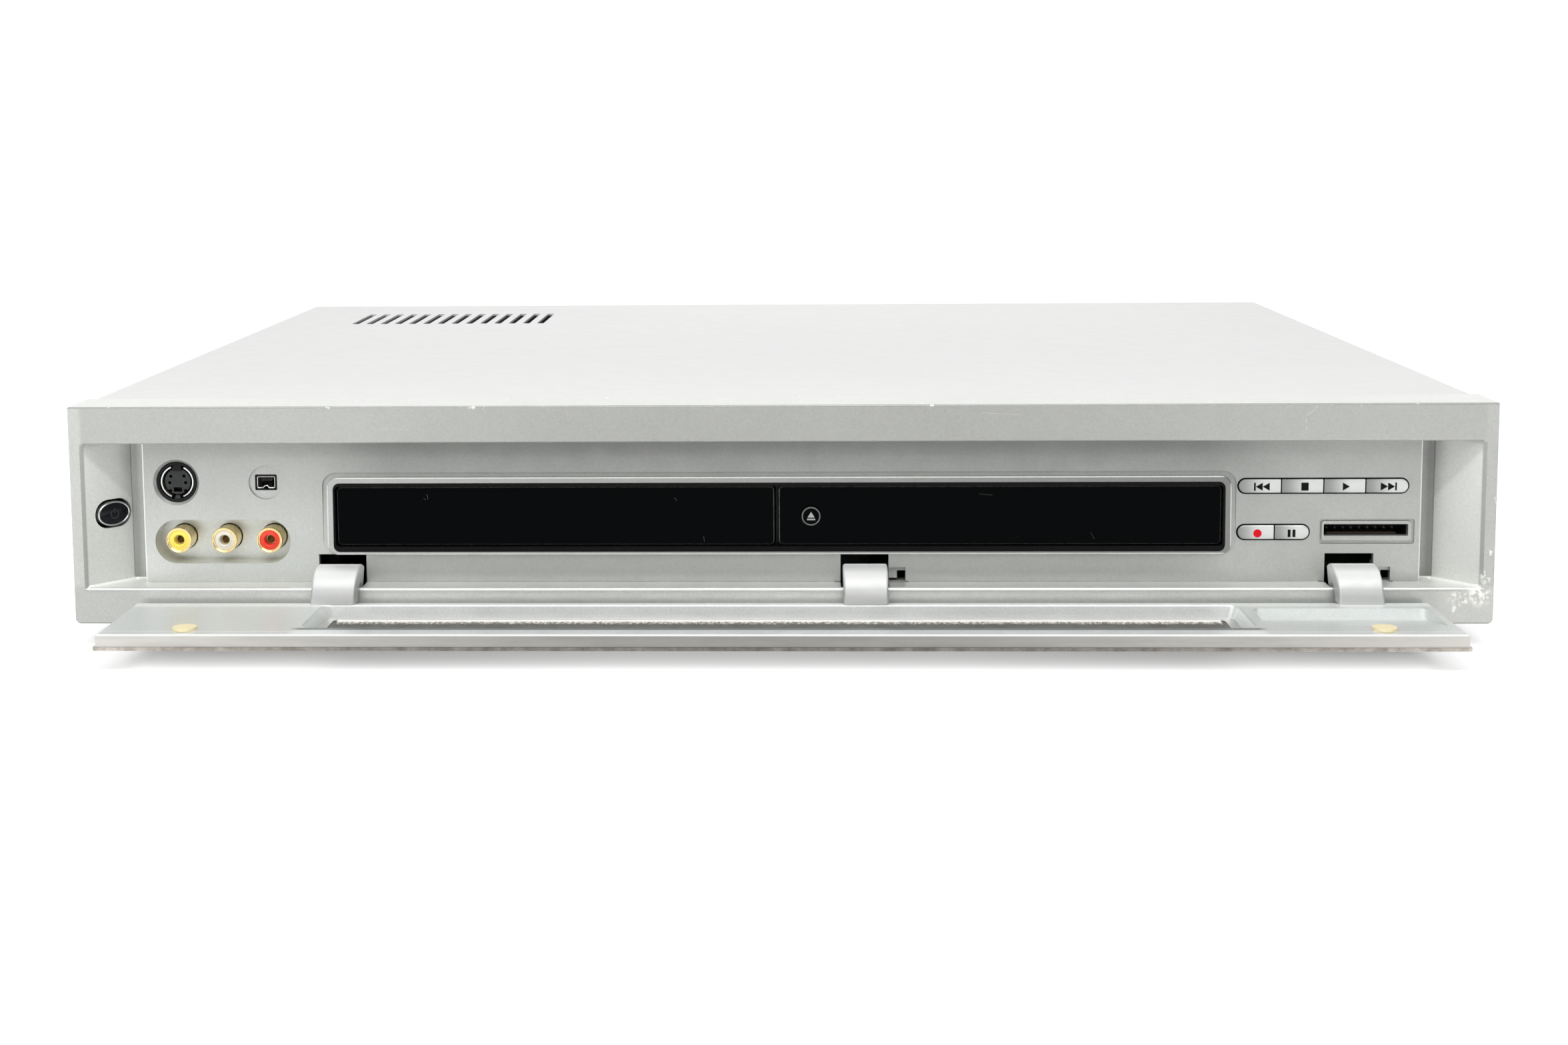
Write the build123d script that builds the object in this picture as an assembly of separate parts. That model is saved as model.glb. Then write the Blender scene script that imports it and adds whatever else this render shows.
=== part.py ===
from build123d import *
import os
from math import sin, cos, radians, atan2, degrees, sqrt, pi

# Disc recorder with a motorised disc tray and a drop-down front flap.
# Millimetres, +Z up, front towards -Y.  The modelling frame has its Y zero on
# the front plane of the bezel and Z zero on the floor under the feet; every
# piece is moved by SHIFT_Y at the end so that the origin is at the middle of
# the footprint, with the flap open.

# ---------------------------------------------------------------- dimensions
W_BEZEL = 430.0            # width of the front bezel
H_BEZEL = 67.0             # height of the front bezel
FOOT_H = 8.0               # feet under the chassis plate
Z_B = 7.0                  # bottom edge of the bezel above the floor
Z_T = Z_B + H_BEZEL        # top edge of the bezel
WALL = 2.2                 # bezel wall
BEZEL_D = 20.0             # depth of the bezel's top, bottom and side returns
REC_X = 211.7              # half width of the recess at the front plane
Z_FLOOR = Z_B + 11.1       # floor of the recess
Z_CEIL = Z_B + 55.6        # ceiling of the recess
CHEEK_X = 200.0            # half width at the inner end of the slanted cheeks
CHEEK_Y = 13.5             # depth of the groove beside the panel
PANEL_X = 195.2            # half width of the raised control panel
PANEL_Y = 9.0              # depth of the panel's face
PANEL_T = 2.2
BACK_Y = 15.3              # back of the recess walls

WIN_X = 136.4              # half width of the display and tray opening
WIN_Z0, WIN_Z1 = Z_B + 20.5, Z_B + 41.9
RIM_X = 138.3
RIM_Z0, RIM_Z1 = Z_B + 19.7, Z_B + 44.7
DOOR_X0, DOOR_X1 = -135.4, -0.6
PANE_Z0, PANE_Z1 = Z_B + 22.4, Z_B + 40.4
DISP_X0, DISP_X1 = 0.9, 135.4

EJECT_X, EJECT_Z, EJECT_R = 10.7, Z_B + 31.2, 2.95
ROW1 = (139.8, 191.5, Z_B + 38.1, Z_B + 43.1)      # previous, stop, play, next
ROW1_DIV = (153.0, 165.7, 178.3)
ROW2 = (139.7, 162.0, Z_B + 23.85, Z_B + 28.95)    # record, pause
ROW2_DIV = (151.1,)
KEY_GAP = 0.4

ARM_XC = (-133.8, 27.0, 173.9)   # the three gooseneck hinge arms
ARM_W = 13.4
SLOT_W = 14.7
SLOT_Z1 = Z_B + 19.8
PIV_Y, PIV_Z = 3.4, Z_B + 5.6    # hinge axis of the flap
ARM_RO, ARM_RI = 12.0, 6.9       # outer and inner radius of the arm's arc
PIN_R = 1.0
HUB_R = 2.2

FLAP_Y0 = -3.0                   # rear edge of the open flap
FLAP_L = 42.4
FLAP_Y1 = FLAP_Y0 - FLAP_L
FLAP_X = 194.6                   # half width of the inner frame
PLATE_X = 195.4                  # half width of the outer plate
FLAP_Z1 = Z_B + 7.7              # inner face, upwards when open
PLATE_Z0 = Z_B + 2.7             # outer face, downwards when open
PLATE_T = 1.1               # the plate's edges are rounded by 0.25

BODY_D = 344.0                   # rear panel's outer face
COVER_X = 214.0
COVER_Z = Z_T - 0.4
SHEET = 0.8

TRAY_XC, TRAY_W = -68.0, 125.6
TRAY_Y0, TRAY_Y1 = 13.4, 183.0
TRAY_Z0, TRAY_Z1 = 34.0, 41.5
TRAY_TRAVEL = 140.0
DISC_Y = 80.0                    # centre of the disc, tray closed
WELL_R = 61.0
WELL_Z = 38.3

REAR_OUT = 352.0                 # outermost rear sockets
SHIFT_Y = -(FLAP_Y1 + REAR_OUT) / 2.0

PARTS = {}


# ------------------------------------------------------------------- helpers
def bx(x0, x1, y0, y1, z0, z1):
    return Pos((x0 + x1) / 2, (y0 + y1) / 2, (z0 + z1) / 2) * Box(abs(x1 - x0), abs(y1 - y0), abs(z1 - z0))


def cy(x, z, r, y0, y1):
    return Pos(x, (y0 + y1) / 2, z) * Rot(90, 0, 0) * Cylinder(r, abs(y1 - y0))


def cz(x, y, r, z0, z1):
    return Pos(x, y, (z0 + z1) / 2) * Cylinder(r, abs(z1 - z0))


def cx(y, z, r, x0, x1):
    return Pos((x0 + x1) / 2, y, z) * Rot(0, 90, 0) * Cylinder(r, abs(x1 - x0))


def front(sk, y0, y1):
    """Extrude a sketch drawn in X,Z from depth y0 back to depth y1."""
    return extrude(Plane((0, y1, 0), x_dir=(1, 0, 0), z_dir=(0, -1, 0)) * sk, amount=(y1 - y0))


def rr(x0, x1, z0, z1, r):
    return Pos((x0 + x1) / 2, (z0 + z1) / 2) * RectangleRounded(x1 - x0, z1 - z0, r)


def frr(x0, x1, z0, z1, r, y0, y1):
    return front(rr(x0, x1, z0, z1, r), y0, y1)


def top(sk, z0, z1):
    """Extrude a sketch drawn in X,Y from z0 up to z1."""
    return extrude(Plane((0, 0, z0)) * sk, amount=(z1 - z0))


def side(pts, x0, x1, arcs=None):
    """Extrude a closed outline of (y, z) points along X."""
    edges = []
    n = len(pts)
    for i in range(n):
        a, b = pts[i], pts[(i + 1) % n]
        if arcs and i in arcs:
            edges.append(ThreePointArc(a, arcs[i], b))
        else:
            edges.append(Line(a, b))
    face = make_face(edges)
    pl = Plane((x0, 0, 0), x_dir=(0, 1, 0), z_dir=(1, 0, 0))
    return extrude(pl * face, amount=(x1 - x0))


def keep(name, shape):
    PARTS[name] = shape


def one(shape):
    """The single solid of a shape."""
    s = shape.solids()
    return s[0] if len(s) == 1 else shape


def pipe_ring(y0, y1, x, z, ro, ri):
    return cy(x, z, ro, y0, y1) - cy(x, z, ri, y0 - 1, y1 + 1)


# ------------------------------------------------------------- front bezel
k = 0.7071
low = side([(0, Z_B), (0, Z_FLOOR - 1.2), (1.2, Z_FLOOR), (BACK_Y, Z_FLOOR), (BACK_Y, Z_FLOOR - 1.6),
            (WALL, Z_FLOOR - 1.6), (WALL, Z_B + WALL), (BEZEL_D, Z_B + WALL), (BEZEL_D, Z_B)],
           -213.5, 213.5, {1: (1.2 - 1.2 * k, Z_FLOOR - 1.2 + 1.2 * k)})
high = side([(0, Z_T), (BEZEL_D, Z_T), (BEZEL_D, Z_T - WALL), (WALL, Z_T - WALL), (WALL, Z_CEIL + 1.6),
             (BACK_Y, Z_CEIL + 1.6), (BACK_Y, Z_CEIL), (0.8, Z_CEIL), (0, Z_CEIL + 0.8)],
            -213.5, 213.5, {7: (0.8 - 0.8 * k, Z_CEIL + 0.8 - 0.8 * k)})
cheek_pts = [(-215, 0), (-REC_X, 0), (-CHEEK_X, CHEEK_Y), (-193.6, CHEEK_Y), (-193.6, BACK_Y),
             (-201.2, BACK_Y), (-212.8, 2.1), (-212.8, BEZEL_D), (-215, BEZEL_D)]
cheek_l = top(make_face(Polyline(*cheek_pts, close=True)), Z_FLOOR - 0.6, Z_CEIL + 0.6)
cheek_r = top(make_face(Polyline(*[(-a, b) for a, b in cheek_pts], close=True)), Z_FLOOR - 0.6, Z_CEIL + 0.6)
bezel = low + high + cheek_l + cheek_r
for s in (-1, 1):
    bezel += bx(s * 212.8, s * 215, 0, BEZEL_D, Z_B, Z_T)
# ears that carry the hinge pins, and the slots that the arms swing through
for xc in ARM_XC:
    for s in (-1, 1):
        bezel += bx(xc + s * 7.75, xc + s * 9.6, 1.0, 7.6, Z_B + 1.5, Z_FLOOR - 1.0)
for xc in ARM_XC:
    h = SLOT_W / 2
    bezel -= bx(xc - h, xc + h, 1.5, BACK_Y + 1, Z_FLOOR - 3.0, Z_FLOOR + 1)         # floor slot
    bezel -= bx(xc - h, xc + h, 0.9, 6.5, Z_B + 2.8, Z_B + 8.4)                      # thinned wall at the hub
    bezel -= bx(xc - h, xc + h, 2.2, 15.5, Z_B - 1, Z_B + 3.0)                       # slot in the bottom return
    bezel -= cx(PIV_Y, PIV_Z, PIN_R, xc - 11, xc + 11)
    bezel -= bx(xc - 9.2, xc + h, 8.15, PANEL_Y + 0.2, Z_FLOOR - 3, Z_FLOOR + 1)     # notch at the panel's foot
for xc in ARM_XC[1:]:
    bezel -= bx(xc, xc + 13.4, 8.15, PANEL_Y + 0.2, Z_FLOOR - 3, Z_FLOOR + 1)
outer = bx(-215, 215, 0, 60, Z_B, Z_T)
outer = fillet(outer.edges().filter_by(Axis.Y).group_by(Axis.Z)[0], 1.6)
outer = fillet(outer.edges().filter_by(Axis.Y).group_by(Axis.Z)[-1], 0.5)
outer = fillet(outer.faces().sort_by(Axis.Y)[0].edges(), 0.45)
bezel = bezel & outer

# power button: an oval key in the left cheek, square to the slanted face
slope = Vector(REC_X - CHEEK_X, CHEEK_Y, 0).normalized()
nrm = Vector(slope.Y, -slope.X, 0)                       # out of the cheek, towards the middle
PWR_T = 0.61
PWR_C = Vector(-REC_X + PWR_T * (REC_X - CHEEK_X), PWR_T * CHEEK_Y, Z_B + 32.9)
pw = Plane(PWR_C, x_dir=slope, z_dir=nrm)
bezel -= extrude(pw * SlotOverall(12.6, 8.9), amount=6, both=True)
corner_e = [e for e in bezel.edges() if REC_X - 12.5 < abs(e.center().X) < REC_X and 1.0 < e.center().Y < CHEEK_Y
            and (abs(e.center().Z - Z_CEIL) < 0.3 or abs(e.center().Z - Z_FLOOR) < 0.3) and e.length > 8]
bezel = fillet(corner_e, 1.2)
keep("front_bezel", bezel)
power = extrude(pw * SlotOverall(11.8, 8.1), amount=0.9) + extrude(pw * SlotOverall(11.8, 8.1), amount=-2.2)
power += extrude(pw * Circle(1.8), amount=-3.6)
keep("power_button", power)

# ------------------------------------------------------------ control panel
panel = bx(-PANEL_X, PANEL_X, PANEL_Y, PANEL_Y + PANEL_T, Z_FLOOR + 0.05, Z_CEIL - 0.05)
for s in (-1, 1):
    panel += bx(s * PANEL_X, s * (PANEL_X - 1.6), PANEL_Y, CHEEK_Y - 0.05, Z_FLOOR + 0.05, Z_CEIL - 0.05)
panel += bx(-PANEL_X, PANEL_X, PANEL_Y, CHEEK_Y, Z_CEIL - 1.6, Z_CEIL - 0.05)
panel -= frr(-WIN_X - 0.1, WIN_X + 0.1, WIN_Z0 - 0.1, WIN_Z1 + 0.1, 2.0, 5, 20)
for xc in ARM_XC:
    panel -= bx(xc - SLOT_W / 2, xc + SLOT_W / 2, 5, 20, Z_B, SLOT_Z1)
for xc in ARM_XC[1:]:
    panel -= bx(xc + SLOT_W / 2 - 0.1, xc + 12.5, 5, 20, Z_B, Z_B + 15.6)
    panel += bx(xc + SLOT_W / 2, xc + SLOT_W / 2 + 2.6, PANEL_Y + 1.4, PANEL_Y + 4.2, Z_FLOOR + 0.9, Z_B + 17.0)
    panel += bx(xc + SLOT_W / 2, xc + 13.2, PANEL_Y + 1.2, PANEL_Y + 4.2, Z_B + 14.4, Z_B + 17.0)
r1w, r2w = ROW1[1] - ROW1[0], ROW2[1] - ROW2[0]
r1h, r2h = ROW1[3] - ROW1[2], ROW2[3] - ROW2[2]
r1c = ((ROW1[0] + ROW1[1]) / 2, (ROW1[2] + ROW1[3]) / 2)
r2c = ((ROW2[0] + ROW2[1]) / 2, (ROW2[2] + ROW2[3]) / 2)
panel -= front(Pos(*r1c) * SlotOverall(r1w, r1h), 5, 20)
panel -= front(Pos(*r2c) * SlotOverall(r2w, r2h), 5, 20)
# shallow recess round the window, level at the bottom and deeper towards the top
def leaning(a0, a1, x, za, zb, ya, yb):
    """Slab along X whose front and back lean: depth a0..a1 at za and a0+yb-ya.. at zb."""
    return side([(a0 + ya, za), (a1 + ya, za), (a1 + yb, zb), (a0 + yb, zb)], -x, x)


REC_Z0, REC_Z1 = Z_B + 19.5, Z_B + 45.3
LEAN = 1.0
panel -= frr(-139.6, 139.6, REC_Z0, REC_Z1, 4.2, 0, 20) & leaning(-6.0, 0.0, 141.0, REC_Z0, REC_Z1, PANEL_Y, PANEL_Y + LEAN)
# card slot with a raised lip
CARD = (166.1, 191.5, Z_B + 25.2, Z_B + 28.8)
CARD_REC = (164.8, 193.4, Z_B + 22.7, Z_B + 30.4)
panel -= frr(*CARD_REC, 0.8, PANEL_Y - 1, PANEL_Y + 0.8)
lip = frr(165.4, 192.6, Z_B + 23.6, Z_B + 29.7, 0.9, PANEL_Y - 0.1, PANEL_Y + 1.5)
lip = fillet(lip.faces().sort_by(Axis.Y)[0].edges(), 0.3)
panel += lip
panel -= frr(*CARD, 0.4, 5, 20)
# jacks
DIN_C = (-184.9, Z_B + 42.3)
DIG_C = (-157.1, Z_B + 42.2)
PHONO_X = (-184.9, -170.75, -156.65)
PHONO_Z = Z_B + 24.0
POCKET = (-192.0, -149.8, Z_B + 16.95, Z_B + 30.65)
POCKET_Y = PANEL_Y + 8.0         # floor of the pocket that the phono sockets stand in
PHONO_Y = PANEL_Y + 0.9          # front of the phono sockets
panel -= cy(*DIN_C, 6.35, 5, 20)
panel -= Pos(DIN_C[0], PANEL_Y + 0.45, DIN_C[1]) * Rot(90, 0, 0) * Cone(6.35, 7.15, 0.9)
panel -= cy(*DIG_C, 5.25, 5, PANEL_Y + 0.7)
panel -= frr(DIG_C[0] - 3.4, DIG_C[0] + 3.4, DIG_C[1] - 2.45, DIG_C[1] + 2.45, 0.4, 5, 20)
PKC = Pos((POCKET[0] + POCKET[1]) / 2, (POCKET[2] + POCKET[3]) / 2)
panel += front(PKC * SlotOverall(POCKET[1] - POCKET[0] + 2.4, POCKET[3] - POCKET[2] + 2.4), PANEL_Y + 1.0, POCKET_Y + 1.2)
panel -= front(PKC * SlotOverall(POCKET[1] - POCKET[0], POCKET[3] - POCKET[2]), 5, POCKET_Y)
for x in PHONO_X:
    panel -= cy(x, PHONO_Z, 4.15, 5, POCKET_Y + 5)
keep("control_panel", panel)

# silver rim round the window
RIM_TOP = Z_B + 43.7
rim = frr(-RIM_X, RIM_X, RIM_Z0, RIM_TOP, 3.4, 0, 20) & leaning(
    -0.75, -0.02, 141.0, RIM_Z0, RIM_TOP, PANEL_Y + LEAN * (RIM_Z0 - REC_Z0) / (REC_Z1 - REC_Z0),
    PANEL_Y + LEAN * (RIM_TOP - REC_Z0) / (REC_Z1 - REC_Z0))
rim -= frr(-WIN_X, WIN_X, WIN_Z0, WIN_Z1, 2.0, 0, 20)
ff = rim.faces().sort_by(Axis.Y)[0]
rim = fillet(ff.edges(), 0.33)
keep("window_rim", rim)

# black liner inside the rim, with the tray's doorway and the ledge for the display window
liner = frr(-WIN_X + 0.02, WIN_X - 0.02, WIN_Z0 + 0.02, WIN_Z1 - 0.02, 2.1, PANEL_Y + 0.2, PANEL_Y + 5.4)
liner -= frr(-135.9, 135.8, WIN_Z0 + 1.5, WIN_Z1 - 1.1, 1.2, 0, PANEL_Y + 3.8)
liner -= frr(-135.9, -0.1, WIN_Z0 + 1.5, WIN_Z1 - 1.1, 1.2, 0, 30)
liner -= frr(22, 128, Z_B + 25.2, Z_B + 37.6, 0.8, 0, 30)
liner -= cy(EJECT_X, EJECT_Z, EJECT_R + 0.4, 0, 30)
keep("window_liner", liner)

disp = frr(DISP_X0, DISP_X1, PANE_Z0, PANE_Z1, 1.3, PANEL_Y + 1.7, PANEL_Y + 3.75)
disp -= cy(EJECT_X, EJECT_Z, EJECT_R + 0.35, 0, 30)
keep("display_window", disp)
dm = bx(24, 126, PANEL_Y + 5.5, 18.6, Z_B + 24.5, Z_B + 38.2)
dm += bx(26, 124, PANEL_Y + 4.1, PANEL_Y + 5.5, Z_B + 26, Z_B + 37)
keep("display_module", dm)

eject = cy(EJECT_X, EJECT_Z, EJECT_R, PANEL_Y + 1.1, PANEL_Y + 4.6) + cy(EJECT_X, EJECT_Z, 1.4, PANEL_Y + 4.6, PANEL_Y + 7.2)
keep("eject_button", eject)


def key_row(row, divs, names):
    x0, x1, z0, z1 = row
    cuts = [x0] + list(divs) + [x1]
    full = front(Pos((x0 + x1) / 2, (z0 + z1) / 2) * SlotOverall(x1 - x0 - 2 * KEY_GAP, z1 - z0 - 2 * KEY_GAP), PANEL_Y - 0.7, PANEL_Y + 2.4)
    full = fillet(full.faces().sort_by(Axis.Y)[0].edges(), 0.45)
    for i, nm in enumerate(names):
        a = cuts[i] + (0 if i == 0 else KEY_GAP / 2)
        b = cuts[i + 1] - (0 if i == len(names) - 1 else KEY_GAP / 2)
        key = full & bx(a, b, 0, 20, z0 - 1, z1 + 1)
        xm, zm = (cuts[i] + cuts[i + 1]) / 2, (z0 + z1) / 2
        key += bx(xm - 1.6, xm + 1.6, PANEL_Y + 2.4, PANEL_Y + 6.0, zm - 1.1, zm + 1.1)
        keep(nm + "_button", key)


key_row(ROW1, ROW1_DIV, ("previous", "stop", "play", "next"))
key_row(ROW2, ROW2_DIV, ("record", "pause"))

# black guide plate behind the keys
guide = bx(138.6, 193.2, PANEL_Y + 3.6, PANEL_Y + 4.8, Z_B + 37.0, Z_B + 44.2)
guide += bx(138.6, 163.2, PANEL_Y + 3.6, PANEL_Y + 4.8, Z_B + 22.6, Z_B + 38.0)
guide -= frr(141.5, 161.0, Z_B + 30.5, Z_B + 35.8, 1.0, 5, 30)
for row, divs in ((ROW1, ROW1_DIV), (ROW2, ROW2_DIV)):
    cuts = [row[0]] + list(divs) + [row[1]]
    for i in range(len(cuts) - 1):
        xm, zm = (cuts[i] + cuts[i + 1]) / 2, (row[2] + row[3]) / 2
        guide -= bx(xm - 2.0, xm + 2.0, 5, 30, zm - 1.5, zm + 1.5)
for xx, zz in ((139.6, Z_B + 33.2), (162.3, Z_B + 33.2)):
    guide += cy(xx, zz, 0.9, PANEL_Y + PANEL_T, PANEL_Y + 3.7)
keep("key_guide", guide)

# circuit board behind the keys with a push switch for each
board = bx(6.0, 193.0, 18.6, 20.1, Z_B + 20.8, Z_B + 45.5)
for row, divs in ((ROW1, ROW1_DIV), (ROW2, ROW2_DIV)):
    cuts = [row[0]] + list(divs) + [row[1]]
    for i in range(len(cuts) - 1):
        xm, zm = (cuts[i] + cuts[i + 1]) / 2, (row[2] + row[3]) / 2
        board += bx(xm - 2.2, xm + 2.2, 16.6, 18.7, zm - 2.2, zm + 2.2) + cy(xm, zm, 1.0, 16.1, 16.7)
board += cy(EJECT_X, EJECT_Z, 2.2, 17.6, 18.7) + cy(EJECT_X, EJECT_Z, 1.0, 17.3, 17.7)
keep("front_board", board)

# small bracket with the power button's switch
sw = pw.origin - nrm * 4.7
swp = Plane(sw, x_dir=slope, z_dir=nrm)
swb = extrude(swp * Rectangle(6.0, 6.0), amount=-3.2) + extrude(swp * Circle(1.2), amount=-1, both=False)
swb += bx(-210.6, -207.6, 13.2, 16.0, Z_B + 31.0, Z_B + 35.0)
swb += bx(-212.8, -203.2, 15.9, 17.2, Z_B + 27.0, Z_B + 40.0)
keep("power_switch", swb)

# ------------------------------------------------------------------- jacks
din = cy(*DIN_C, 6.25, PANEL_Y + 0.75, PANEL_Y + 9.0)
din -= cy(*DIN_C, 5.0, PANEL_Y, PANEL_Y + 6.0)
din += bx(DIN_C[0] - 7, DIN_C[0] + 7, PANEL_Y + 9.0, POCKET_Y + 8.6, DIN_C[1] - 7, DIN_C[1] + 7)
din += cy(*DIN_C, 3.3, PANEL_Y + 2.2, PANEL_Y + 6.5) 
din -= bx(DIN_C[0] - 1.1, DIN_C[0] + 1.1, PANEL_Y, PANEL_Y + 6, DIN_C[1] - 3.6, DIN_C[1] - 1.9)
for px_, pz_ in ((-1.7, 1.2), (1.7, 1.2), (-1.45, -1.1), (1.45, -1.1)):
    din -= cy(DIN_C[0] + px_, DIN_C[1] + pz_, 0.45, PANEL_Y, PANEL_Y + 6)
keep("mini_din_body", din)
shield = cy(*DIN_C, 4.95, PANEL_Y + 1.0, PANEL_Y + 5.95) - cy(*DIN_C, 4.5, 5, 30)
shield -= bx(DIN_C[0] - 0.9, DIN_C[0] + 0.9, 5, 15.2, DIN_C[1] - 6, DIN_C[1])
keep("mini_din_shield", shield)

dig = frr(DIG_C[0] - 3.3, DIG_C[0] + 3.3, DIG_C[1] - 2.35, DIG_C[1] + 2.35, 0.4, PANEL_Y + 0.55, POCKET_Y + 8.6)
dig -= frr(DIG_C[0] - 2.75, DIG_C[0] + 2.75, DIG_C[1] - 1.75, DIG_C[1] + 1.75, 0.3, PANEL_Y - 1, PANEL_Y + 7.0)
dig += frr(DIG_C[0] - 1.9, DIG_C[0] + 1.9, DIG_C[1] - 0.5, DIG_C[1] + 0.5, 0.2, PANEL_Y + 2.0, PANEL_Y + 7.5)
keep("digital_port", dig)

PB_Y = POCKET_Y + 5.0              # front of the block behind the pocket's floor
keep("phono_block", bx(POCKET[0], POCKET[1], PB_Y, POCKET_Y + 8.6, POCKET[2], POCKET[3]))
shells = None
for x in PHONO_X:
    s_ = pipe_ring(PHONO_Y, PB_Y, x, PHONO_Z, 3.95, 3.3)
    s_ = fillet([e for e in s_.edges().filter_by(GeomType.CIRCLE) if abs(e.center().Y - PHONO_Y) < 0.01 and e.radius > 3.6], 0.25)
    shells = s_ if shells is None else shells + s_
keep("phono_shells", shells)
for x, c in zip(PHONO_X, ("yellow", "white", "red")):
    keep("phono_insulator_" + c, pipe_ring(PHONO_Y + 0.35, PB_Y, x, PHONO_Z, 3.25, 1.6))
jb = bx(-194.0, -146.0, POCKET_Y + 8.7, POCKET_Y + 10.3, Z_B + 14.5, Z_B + 50.5)
keep("jack_board", jb)

card = bx(164.4, 193.2, PANEL_Y + 2.3, PANEL_Y + 9.4, Z_B + 21.2, Z_B + 32.2)
card -= frr(CARD[0] - 0.1, CARD[1] + 0.1, CARD[2] - 0.1, CARD[3] + 0.1, 0.3, 5, PANEL_Y + 9.0)
keep("card_reader", card)

# -------------------------------------------------------------- hinge pins
pins = None
for xc in ARM_XC:
    p = cx(PIV_Y, PIV_Z, PIN_R - 0.0, xc - 9.6, xc + 9.6)
    pins = p if pins is None else pins + p
keep("hinge_pins", pins)


# --------------------------------------------------------------------- flap
def arm(xc):
    def pt(r, a):
        return (PIV_Y - r * cos(radians(a)), PIV_Z + r * sin(radians(a)))
    zt = FLAP_Z1
    ao = degrees(atan2(zt - PIV_Z, sqrt(ARM_RO ** 2 - (zt - PIV_Z) ** 2)))
    ai = degrees(atan2(zt - PIV_Z, sqrt(ARM_RI ** 2 - (zt - PIV_Z) ** 2)))
    a_end = 116.0
    edges = [ThreePointArc(pt(ARM_RO, ao), pt(ARM_RO, 60), pt(ARM_RO, a_end)),
             Line(pt(ARM_RO, a_end), pt(ARM_RI, a_end)),
             ThreePointArc(pt(ARM_RI, a_end), pt(ARM_RI, 60), pt(ARM_RI, ai)),
             Line(pt(ARM_RI, ai), pt(ARM_RO, ao))]
    face = make_face(edges)
    pl = Plane((xc - ARM_W / 2, 0, 0), x_dir=(0, 1, 0), z_dir=(1, 0, 0))
    ring = extrude(pl * face, amount=ARM_W)
    arcs = [e for e in ring.edges().filter_by(GeomType.CIRCLE) if abs(e.radius - ARM_RO) < 0.01]
    ring = fillet(arcs, 0.7)
    web_pts = [pt(ARM_RO - 1.2, 88), pt(ARM_RO - 1.2, 112), pt(HUB_R * 0.8, 140), pt(HUB_R * 0.8, 70)]
    web = extrude(pl * make_face(Polyline(*web_pts, close=True)), amount=ARM_W)
    hub = cx(PIV_Y, PIV_Z, HUB_R, xc - ARM_W / 2, xc + ARM_W / 2)
    a = ring + web + hub
    a -= cx(PIV_Y, PIV_Z, PIN_R + 0.05, xc - 20, xc + 20)
    return a


for nm, xc in zip(("left", "centre", "right"), ARM_XC):
    keep("hinge_arm_" + nm, arm(xc))


def frz(x0, x1, y0, y1, r, z0, z1):
    return top(Pos((x0 + x1) / 2, (y0 + y1) / 2) * RectangleRounded(x1 - x0, y1 - y0, r), z0, z1)


HOLE_Y0, HOLE_Y1 = -8.4, -37.3      # the flap's window
HOLE_X = 137.2
fr = side([(FLAP_Y0, PLATE_Z0 + PLATE_T), (FLAP_Y0, FLAP_Z1 - 0.6), (FLAP_Y0 - 4.4, FLAP_Z1), (FLAP_Y1 + 3.4, FLAP_Z1),
           (FLAP_Y1 + 0.3, FLAP_Z1 - 0.22), (FLAP_Y1 + 0.3, PLATE_Z0 + PLATE_T)], -FLAP_X, FLAP_X)
fr = fillet([e for e in fr.edges().filter_by(Axis.X) if e.center().Z > FLAP_Z1 - 1.0 and (e.center().Y > FLAP_Y0 - 1 or e.center().Y < FLAP_Y1 + 1)], 0.35)
ends = bx(-FLAP_X, FLAP_X, FLAP_Y1 - 1, FLAP_Y0 + 1, PLATE_Z0, FLAP_Z1 + 0.01)
ends = chamfer(ends.edges().filter_by(Axis.Y).group_by(Axis.Z)[-1], 0.9)
fr = fr & ends
# the window's walls lean inwards towards the plate, and their upper edge is rounded
def ring_at(z, grow, r):
    return Plane.XY.offset(z) * Pos(0, (HOLE_Y0 + HOLE_Y1) / 2) * RectangleRounded(2 * (HOLE_X + 1.3 * grow), HOLE_Y0 - HOLE_Y1 + 0.6 * grow, r)


Z_P = PLATE_Z0 + PLATE_T
K = (Z_P - 1.0 - FLAP_Z1) / (FLAP_Z1 - Z_P)
fr -= loft([ring_at(Z_P - 1.0, K, 2.6), ring_at(FLAP_Z1 + 1.0, 1.0 / (FLAP_Z1 - Z_P), 3.8)])
rim_e = [e for e in fr.edges() if abs(e.center().Z - FLAP_Z1) < 0.02 and abs(e.center().X) < HOLE_X + 1
         and HOLE_Y1 - 0.3 < e.center().Y < HOLE_Y0 + 0.3]
fr = fillet(rim_e, 0.5)
# recess that is deepest at the rear and runs out towards the front
fr -= frz(140.4, 191.6, -40.0, -12.8, 2.0, 0, 30) & side(
    [(-12.8, FLAP_Z1 + 2), (-12.8, FLAP_Z1 - 2.9), (-16.0, FLAP_Z1 - 2.9), (-35.0, FLAP_Z1), (-35.0, FLAP_Z1 + 2)], 140.4, 191.6)
keep("flap_frame", fr)
pl_ = frz(-PLATE_X, PLATE_X, FLAP_Y1, FLAP_Y0, 0.6, PLATE_Z0, PLATE_Z0 + PLATE_T)
pl_ -= frz(-HOLE_X + 4.4, HOLE_X - 4.4, HOLE_Y1 + 2.6, HOLE_Y0 - 2.4, 2.6, 0, 30)
pl_ = fillet(pl_.faces().sort_by(Axis.Z)[0].outer_wire().edges(), 0.25)
keep("flap_plate", pl_)
keep("flap_window", frz(-HOLE_X + 4.43, HOLE_X - 4.43, HOLE_Y1 + 2.63, HOLE_Y0 - 2.43, 2.6, PLATE_Z0 + 0.15, PLATE_Z0 + 0.95))
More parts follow.
